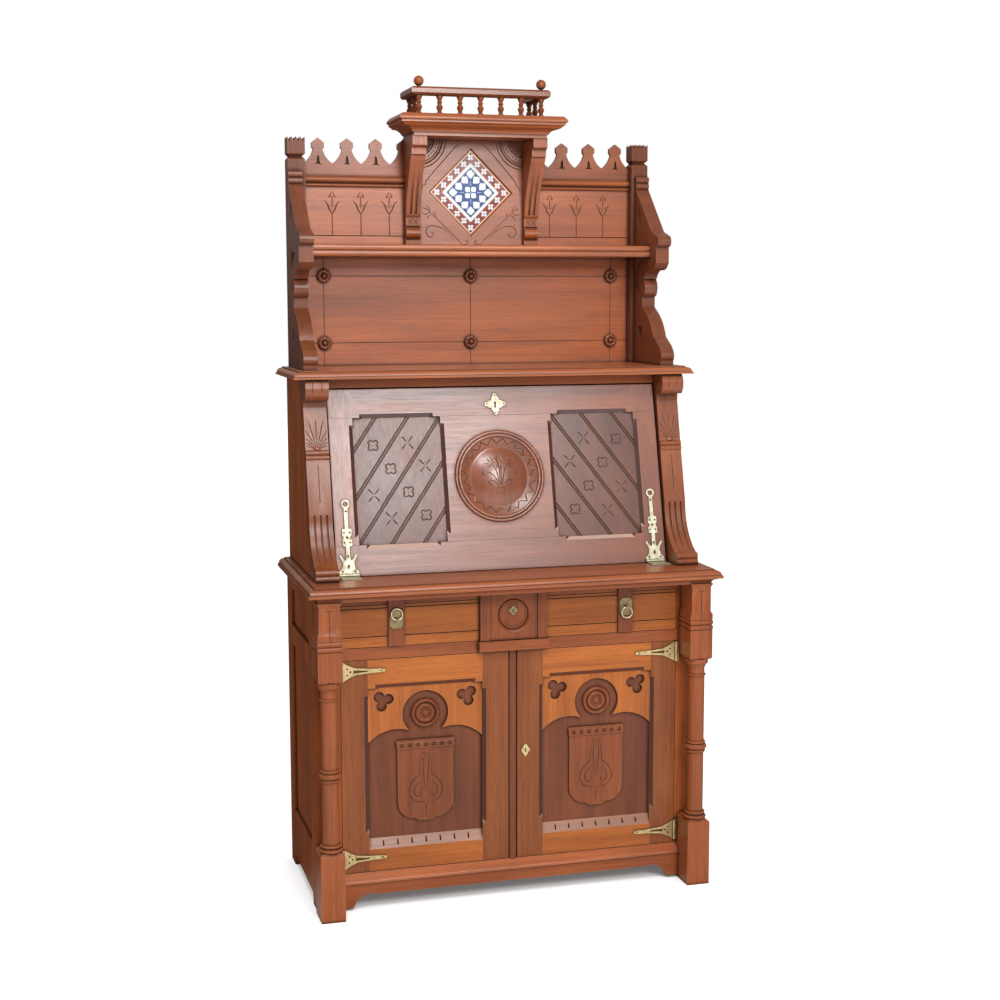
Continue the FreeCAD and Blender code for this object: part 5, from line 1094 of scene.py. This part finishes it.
flower_places = []
between_places = []
for step in range(5):
    along_side = -FLOWER_LINE + step * FLOWER_PITCH
    for side in range(4):
        flower_places += turned([(along_side, FLOWER_LINE)], 90 * side)
        between_places += turned([(along_side + FLOWER_PITCH / 2, FLOWER_LINE)], 90 * side)
petals = [turned(FLOWER_PETAL, 90 * side, *place) for place in flower_places for side in range(4)]
on_tile("tile_small_flowers", petals, MOTIF, "white")
on_tile("tile_brown_squares", [turned(square(3.6), 0, *place) for place in between_places], MOTIF, "brown")
on_tile("tile_red_dots", [circle(1.6, *place, count=8) for place in between_places], RAISED, "red")

leaves = []
for side in range(4):
    for shift in (-LEAF_NEAR, LEAF_NEAR):
        leaves.append(turned(turned(LEAF, 0, shift, LEAF_FAR), 90 * side))
    leaves.append(turned(turned(LEAF, -45, LEAF_FAR, LEAF_FAR), 90 * side))
    leaves.append(turned(turned(ROUNDED_PETAL, 45, 0, PETAL_OUT), 90 * side))
on_tile("tile_white_leaves", leaves, MOTIF, "white")
bar = [(17.5, -1.5), (29, -0.9), (29, 0.9), (17.5, 1.5)]
on_tile("tile_pale_bars", [turned(bar, 45 + 90 * side) for side in range(4)], MOTIF, "sky")
on_tile("tile_middle", [circle(2.2, count=8)], RAISED, "sky")

# %% [markdown]
# ## Pierced straps
# The straps of the fall are sheet brass, sawn and pierced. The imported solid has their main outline. Here the
# square barbs and the two horns are joined to it with a Boolean union, and the shoulders and the dots are
# taken out with a difference. The drawing is flat on the fall, measured from the hinge.

# %% Straps
STRAP_PLACE, STRAP_ASIDE, STRAP_START = 390, 300, 60
CUT_DEEP = 1.0
HORN = [(4, 33), (8.6, 36.6), (13.6, 42), (17.6, 49), (19.4, 50), (21.2, 48.8), (20.2, 44.6), (16.8, 37.6),
        (14.4, 32), (13.4, 26), (13, 22), (4, 22)]
BARBS = [(3, 70), (10.4, 70), (11.4, 71), (11.4, 85.4), (10.4, 86.6), (8.4, 87.6), (8.4, 94.4), (10.4, 95.4),
         (11.4, 96.6), (11.4, 111), (10.4, 112), (3, 112)]
SHOULDER = [(24.6, 10), (20.6, 11.6), (17.4, 15), (15.2, 20), (13.8, 26), (11.6, 31), (6.9, 36), (6.9, 44),
            (30, 44), (30, 10)]
DOTS = ((0, 154, 2.6), (0, 46, 2.9), (0, 91, 3.0), (7, 79, 2.5), (-7, 79, 2.5), (7, 103, 2.5), (-7, 103, 2.5),
        (15.5, 9.5, 2.6), (-15.5, 9.5, 2.6))
LOCK_TIP, LOCK_TIP_RADIUS, LOCK_DOT = 22.0, 5.2, 2.0
KEY_ROUND, KEY_SLOT = 3.4, [(-2, -10), (2, -10), (2, 3), (-2, 3)]
DIAMOND = [(0, 14.5), (3.4, 21), (0, 29), (-3.4, 21)]


def both_ways(outlines):
    return outlines + [[(-u, v) for u, v in outline] for outline in outlines]


def at_straps(outlines):
    return [turned(outline, 0, place) for place in (-STRAP_PLACE, STRAP_PLACE) for outline in outlines]


def round_lock(radius):
    """A circle on each of the four tips of the lock plate."""
    return [turned(circle(radius, LOCK_TIP), 90 * side, 0, lock_level) for side in range(4)]


strap_heights = [p.z for p in fall_brass if p.y > STRAP_START and abs(p.x) > STRAP_ASIDE]
strap_span = min(strap_heights), max(strap_heights)
saw_span = strap_span[0] - CUT_DEEP, strap_span[1] + CUT_DEEP
barbs = at_straps(both_ways([BARBS, HORN])) + round_lock(LOCK_TIP_RADIUS)
added = plates_mesh("strap_barbs", barbs, *strap_span, fall_view)
shoulders = plates_mesh("strap_shoulders", at_straps(both_ways([SHOULDER])), *saw_span, fall_view)
dots = at_straps([circle(r, u, v) for u, v, r in DOTS] + [DIAMOND]) + round_lock(LOCK_DOT)
dots += [circle(KEY_ROUND, 0, lock_level + 3), turned(KEY_SLOT, 0, 0, lock_level)]
pierced = plates_mesh("strap_dots", dots, *saw_span, fall_view)
print("strap between", [round(height, 2) for height in strap_span], "mm, lock at", round(lock_level, 1))
worked_copy("fall_fittings", [(shoulders, "DIFFERENCE"), (added, "UNION"), (pierced, "DIFFERENCE")])

# %% [markdown]
# ## Door straps
# The doors' straps taper from the hinge to a point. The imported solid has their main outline. A plate with the
# finer outline is joined to each with a Boolean union, and a long slot and four dots are sawn through both.

# %% Door straps
STRAP_KNUCKLE, HINGE_HALF, TONGUE_REACH = 7.5, 25, 60
STRAP_EDGE = [(1, 16.5), (9, 12.6), (17, 10.2), (60, 5.8), (86, 4.5), (91, 5.2), (97, 3.6)]
STRAP_SLOT = [(27, 3.6), (62, 1.3), (62, -1.3), (27, -3.6)]
STRAP_DOTS = ((94, 0, 1.8), (12, 7.4, 2.2), (12, -7.4, 2.2), (19.5, 0, 2.4))
strap_plate = STRAP_EDGE + [(99, 0)] + [(u, -v) for u, v in reversed(STRAP_EDGE)]
strap_holes = [STRAP_SLOT] + [circle(r, u, v) for u, v, r in STRAP_DOTS]


def at_hinges(outlines, inwards, foot, levels):
    return [[(inwards * (foot + u), v + level) for u, v in outline]
            for level in levels for outline in outlines]


for side, inwards in (("left", 1), ("right", -1)):
    node = side + "_door_fittings"
    flat = drawn(node, front_view)
    foot = min(inwards * p.x for p in flat) + STRAP_KNUCKLE
    heights = [p.y for p in flat]
    levels = min(heights) + HINGE_HALF, max(heights) - HINGE_HALF
    tongue = [p.z for p in flat if inwards * p.x > foot + TONGUE_REACH and abs(p.y - levels[1]) < 10]
    low, high = min(tongue), max(tongue)
    plates = at_hinges([strap_plate], inwards, foot, levels)
    grown = plates_mesh(node + "_tapers", plates, low, high, front_view)
    holes = at_hinges(strap_holes, inwards, foot, levels)
    sawn = plates_mesh(node + "_holes", holes, low - CUT_DEEP, high + CUT_DEEP, front_view)
    worked_copy(node, [(grown, "UNION"), (sawn, "DIFFERENCE")])

# %% [markdown]
# ## Shields of the doors
# Each door has a shield with a lyre-shaped flower. Its two loops and its petals are shallow strokes.

# %% Door shields
lyre_half = (
    stroke([(9, 366), (15, 341), (16, 318), (28, 307), (40, 289), (41, 272), (32, 256), (14, 249), (2, 251)],
           (0.7, 1.4, 0.8))
    + stroke([(14, 301), (26, 289), (29, 275), (22, 264), (13, 267), (12, 278)], (0.7, 1.4, 0.7))
    + stroke([(2, 366), (7, 346), (5, 312), (2, 280)], (0.6, 1.3, 0.6))
    + stroke([(9, 366), (5, 372), (0, 368)], (0.6, 1.0, 0.6))
)
lyre = mirrored(lyre_half) + stroke([(0, 249), (0, 232), (0, 214)], (0.8, 1.2, 0.5))
for side in ("left", "right"):
    node = side + "_door_ornaments"
    low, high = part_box(node)
    carve(node, moved(lyre, (low.x + high.x) / 2 / MM, 0), front_view)

# %% [markdown]
# ## Tile board
# The board behind the tile has a ribbed fan in each upper corner, under a scalloped line that follows the
# tile's edge, and a spray with a scroll in each lower corner.

# %% Tile board sprays
FAN_MIDDLE = (143, 1866)
FAN_RIBS = 9
FAN_ARCS = ((46, 2.0), (62, 1.5), (68, 2.3), (77, 1.6))


def fan_point(radius, degrees):
    u, v = polar(radius, math.radians(degrees))
    return FAN_MIDDLE[0] + u, FAN_MIDDLE[1] + v


fan = []
for rib in range(FAN_RIBS):
    angle = 186 + 78 * rib / (FAN_RIBS - 1)
    fan += stroke([fan_point(16, angle), fan_point(43, angle)], (0.8, 2.2, 2.5))
    fan += dot(*fan_point(54, angle), 3.2)
for radius, wide in FAN_ARCS:
    fan += stroke([fan_point(radius, angle) for angle in (184, 204, 224, 244, 264)], (wide, wide, wide))
scallop = stroke([(26, 1853), (36, 1849), (48, 1838)], (0.6, 1.2, 1.3))
scallop += stroke([(48, 1838), (84, 1798), (120, 1757)], (1.3, 1.3, 1.3))
scallop += stroke([(120, 1757), (120, 1750), (128, 1746), (129, 1738), (134, 1733)], (1.3, 1.2, 0.8))
spray = stroke([(24, 1599), (66, 1640), (109, 1680)], (0.8, 1.1, 0.8))
spray += stroke([(46, 1612), (64, 1631), (78, 1640), (95, 1645), (112, 1644), (120, 1633), (115, 1620),
                 (105, 1617), (100, 1626), (108, 1630)], (0.6, 1.3, 0.7))
spray += dot(117, 1650, 2.0) + dot(66, 1633, 1.8)
spray += stroke([(109, 1680), (118, 1688), (129, 1691)], (0.6, 1.3, 0.4))
spray += stroke([(109, 1680), (118, 1675), (130, 1676)], (0.6, 1.3, 0.4))
spray += stroke([(109, 1680), (112, 1690), (119, 1697)], (0.6, 1.2, 0.4))
spray += stroke([(98, 1669), (94, 1676), (101, 1680)], (0.5, 1.1, 0.5))
spray += stroke([(104, 1674), (114, 1668), (116, 1662)], (0.5, 1.1, 0.5))
spray += stroke([(24, 1599), (15, 1598), (9, 1602), (11, 1608), (16, 1607)], (0.7, 1.3, 0.8))
carve("tile_board", mirrored(fan + scallop + spray), front_view)

# %% [markdown]
# ## Brackets of the tile
# The brackets beside the tile have two flutes each. On the block below them are two crosses with three dots.

# %% Tile brackets
BRACKET_WIDTH = 37
BLOCK_LOW, BLOCK_HIGH, BLOCK_HALF = 1647, 1663, 14
bracket_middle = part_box("tile_brackets")[1].x / MM - BRACKET_WIDTH / 2
lattice = []
for start in (-BLOCK_HALF, 0):
    lattice += stroke([(start, BLOCK_LOW), (start + BLOCK_HALF, BLOCK_HIGH)], (1.0, 1.2, 1.0))
    lattice += stroke([(start, BLOCK_HIGH), (start + BLOCK_HALF, BLOCK_LOW)], (1.0, 1.2, 1.0))
for u, v in ((-BLOCK_HALF / 2, BLOCK_LOW), (BLOCK_HALF / 2, BLOCK_LOW), (0, BLOCK_LOW + 8)):
    lattice += dot(u, v, 1.6)
carve("tile_brackets", at_both_sides(lattice, bracket_middle), front_view)

# %% [markdown]
# ## Consoles, capitals and rosettes
# A sunburst opens above the double bead of each console, with a line in the panel below it. The capital
# blocks have one cut with a dash at its top, and notches part the rosettes into eight petals.

# %% Consoles
CONSOLE_MIDDLE = 452
SUN_LEVEL, SUN_INNER, SUN_OUTER = 1106, 9, 66
SUN_RAYS = 11
SUN_SPREAD = 76
SUN_SIDE = 25
sun = []
for ray in range(SUN_RAYS):
    angle = math.radians(-SUN_SPREAD + 2 * SUN_SPREAD * ray / (SUN_RAYS - 1))
    long = min(SUN_OUTER, SUN_SIDE / max(abs(math.sin(angle)), 0.01))
    sun += stroke([(SUN_INNER * math.sin(angle), SUN_LEVEL + SUN_INNER * math.cos(angle)),
                   (long * math.sin(angle), SUN_LEVEL + long * math.cos(angle))], (0.7, 1.2, 1.0))
sun += stroke([(0, 1068), (0, 980)], (1.0, 1.2, 1.0))
sun += stroke([(-11, 1240), (-11, 1266)]) + stroke([(11, 1240), (11, 1266)])
carve("consoles", at_both_sides(sun, CONSOLE_MIDDLE), front_view)

# %% Console shells
SHELL_RADIUS, SHELL_PROUD, SHELL_LEVEL = 9.5, 4.5, 1104.5
console_surface = surface_of("consoles")
stretch = Matrix.Diagonal((SHELL_RADIUS * MM, SHELL_RADIUS * MM, SHELL_PROUD * MM, 1))
bm = bmesh.new()
for place in (-CONSOLE_MIDDLE, CONSOLE_MIDDLE):
    foot = lay_on(console_surface, front_view, Vector((place, SHELL_LEVEL + 5, 0)))
    middle = Vector((foot.x, foot.y, SHELL_LEVEL * MM))
    shell = bmesh.ops.create_uvsphere(bm, u_segments=24, v_segments=14, radius=1.0,
                                      matrix=Matrix.Translation(middle) @ fall_turn @ stretch)["verts"]
    around = {part for vert in shell for part in (*vert.link_edges, *vert.link_faces)}
    bmesh.ops.bisect_plane(bm, geom=list(shell) + list(around), plane_co=middle, plane_no=(0, 0, 1),
                           clear_inner=True)
bmesh.ops.holes_fill(bm, edges=[edge for edge in bm.edges if edge.is_boundary])
bmesh.ops.recalc_face_normals(bm, faces=bm.faces)
new_piece("console_shells", mesh_of("console_shells", bm), finishes["consoles"], "consoles")

# %% Capitals
CAPITAL_MIDDLE = 462
cut = stroke([(0, 746), (0, 678)], (1.0, 1.2, 1.0)) + stroke([(-8, 748), (8, 748)], (0.6, 1.4, 0.6))
cut += dot(0, 674, 2.2)
carve("capital_blocks", at_both_sides(cut, CAPITAL_MIDDLE), front_view)

# %% Rosettes
PETALS = 8
low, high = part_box("rosettes")
bm = merged_copy("rosettes")
top_left = [v.co for v in bm.verts if v.co.x < low.x / 2 and v.co.z > (low.z + high.z) / 2]
rosette_radius = (max(c.x for c in top_left) - min(c.x for c in top_left)) / 2 / MM
bm.free()
notches = []
for petal in range(PETALS):
    angle = math.tau * (petal + 0.5) / PETALS
    notch = [polar(rosette_radius * share, angle) for share in (0.45, 1.0)]
    notches += stroke(notch, (0.4, 1.0, 1.7))
rosette_strokes = []
for x in (low.x / MM + rosette_radius, 0, high.x / MM - rosette_radius):
    for z in (low.z / MM + rosette_radius, high.z / MM - rosette_radius):
        rosette_strokes += moved(notches, x, z)
carve("rosettes", rosette_strokes, front_view)
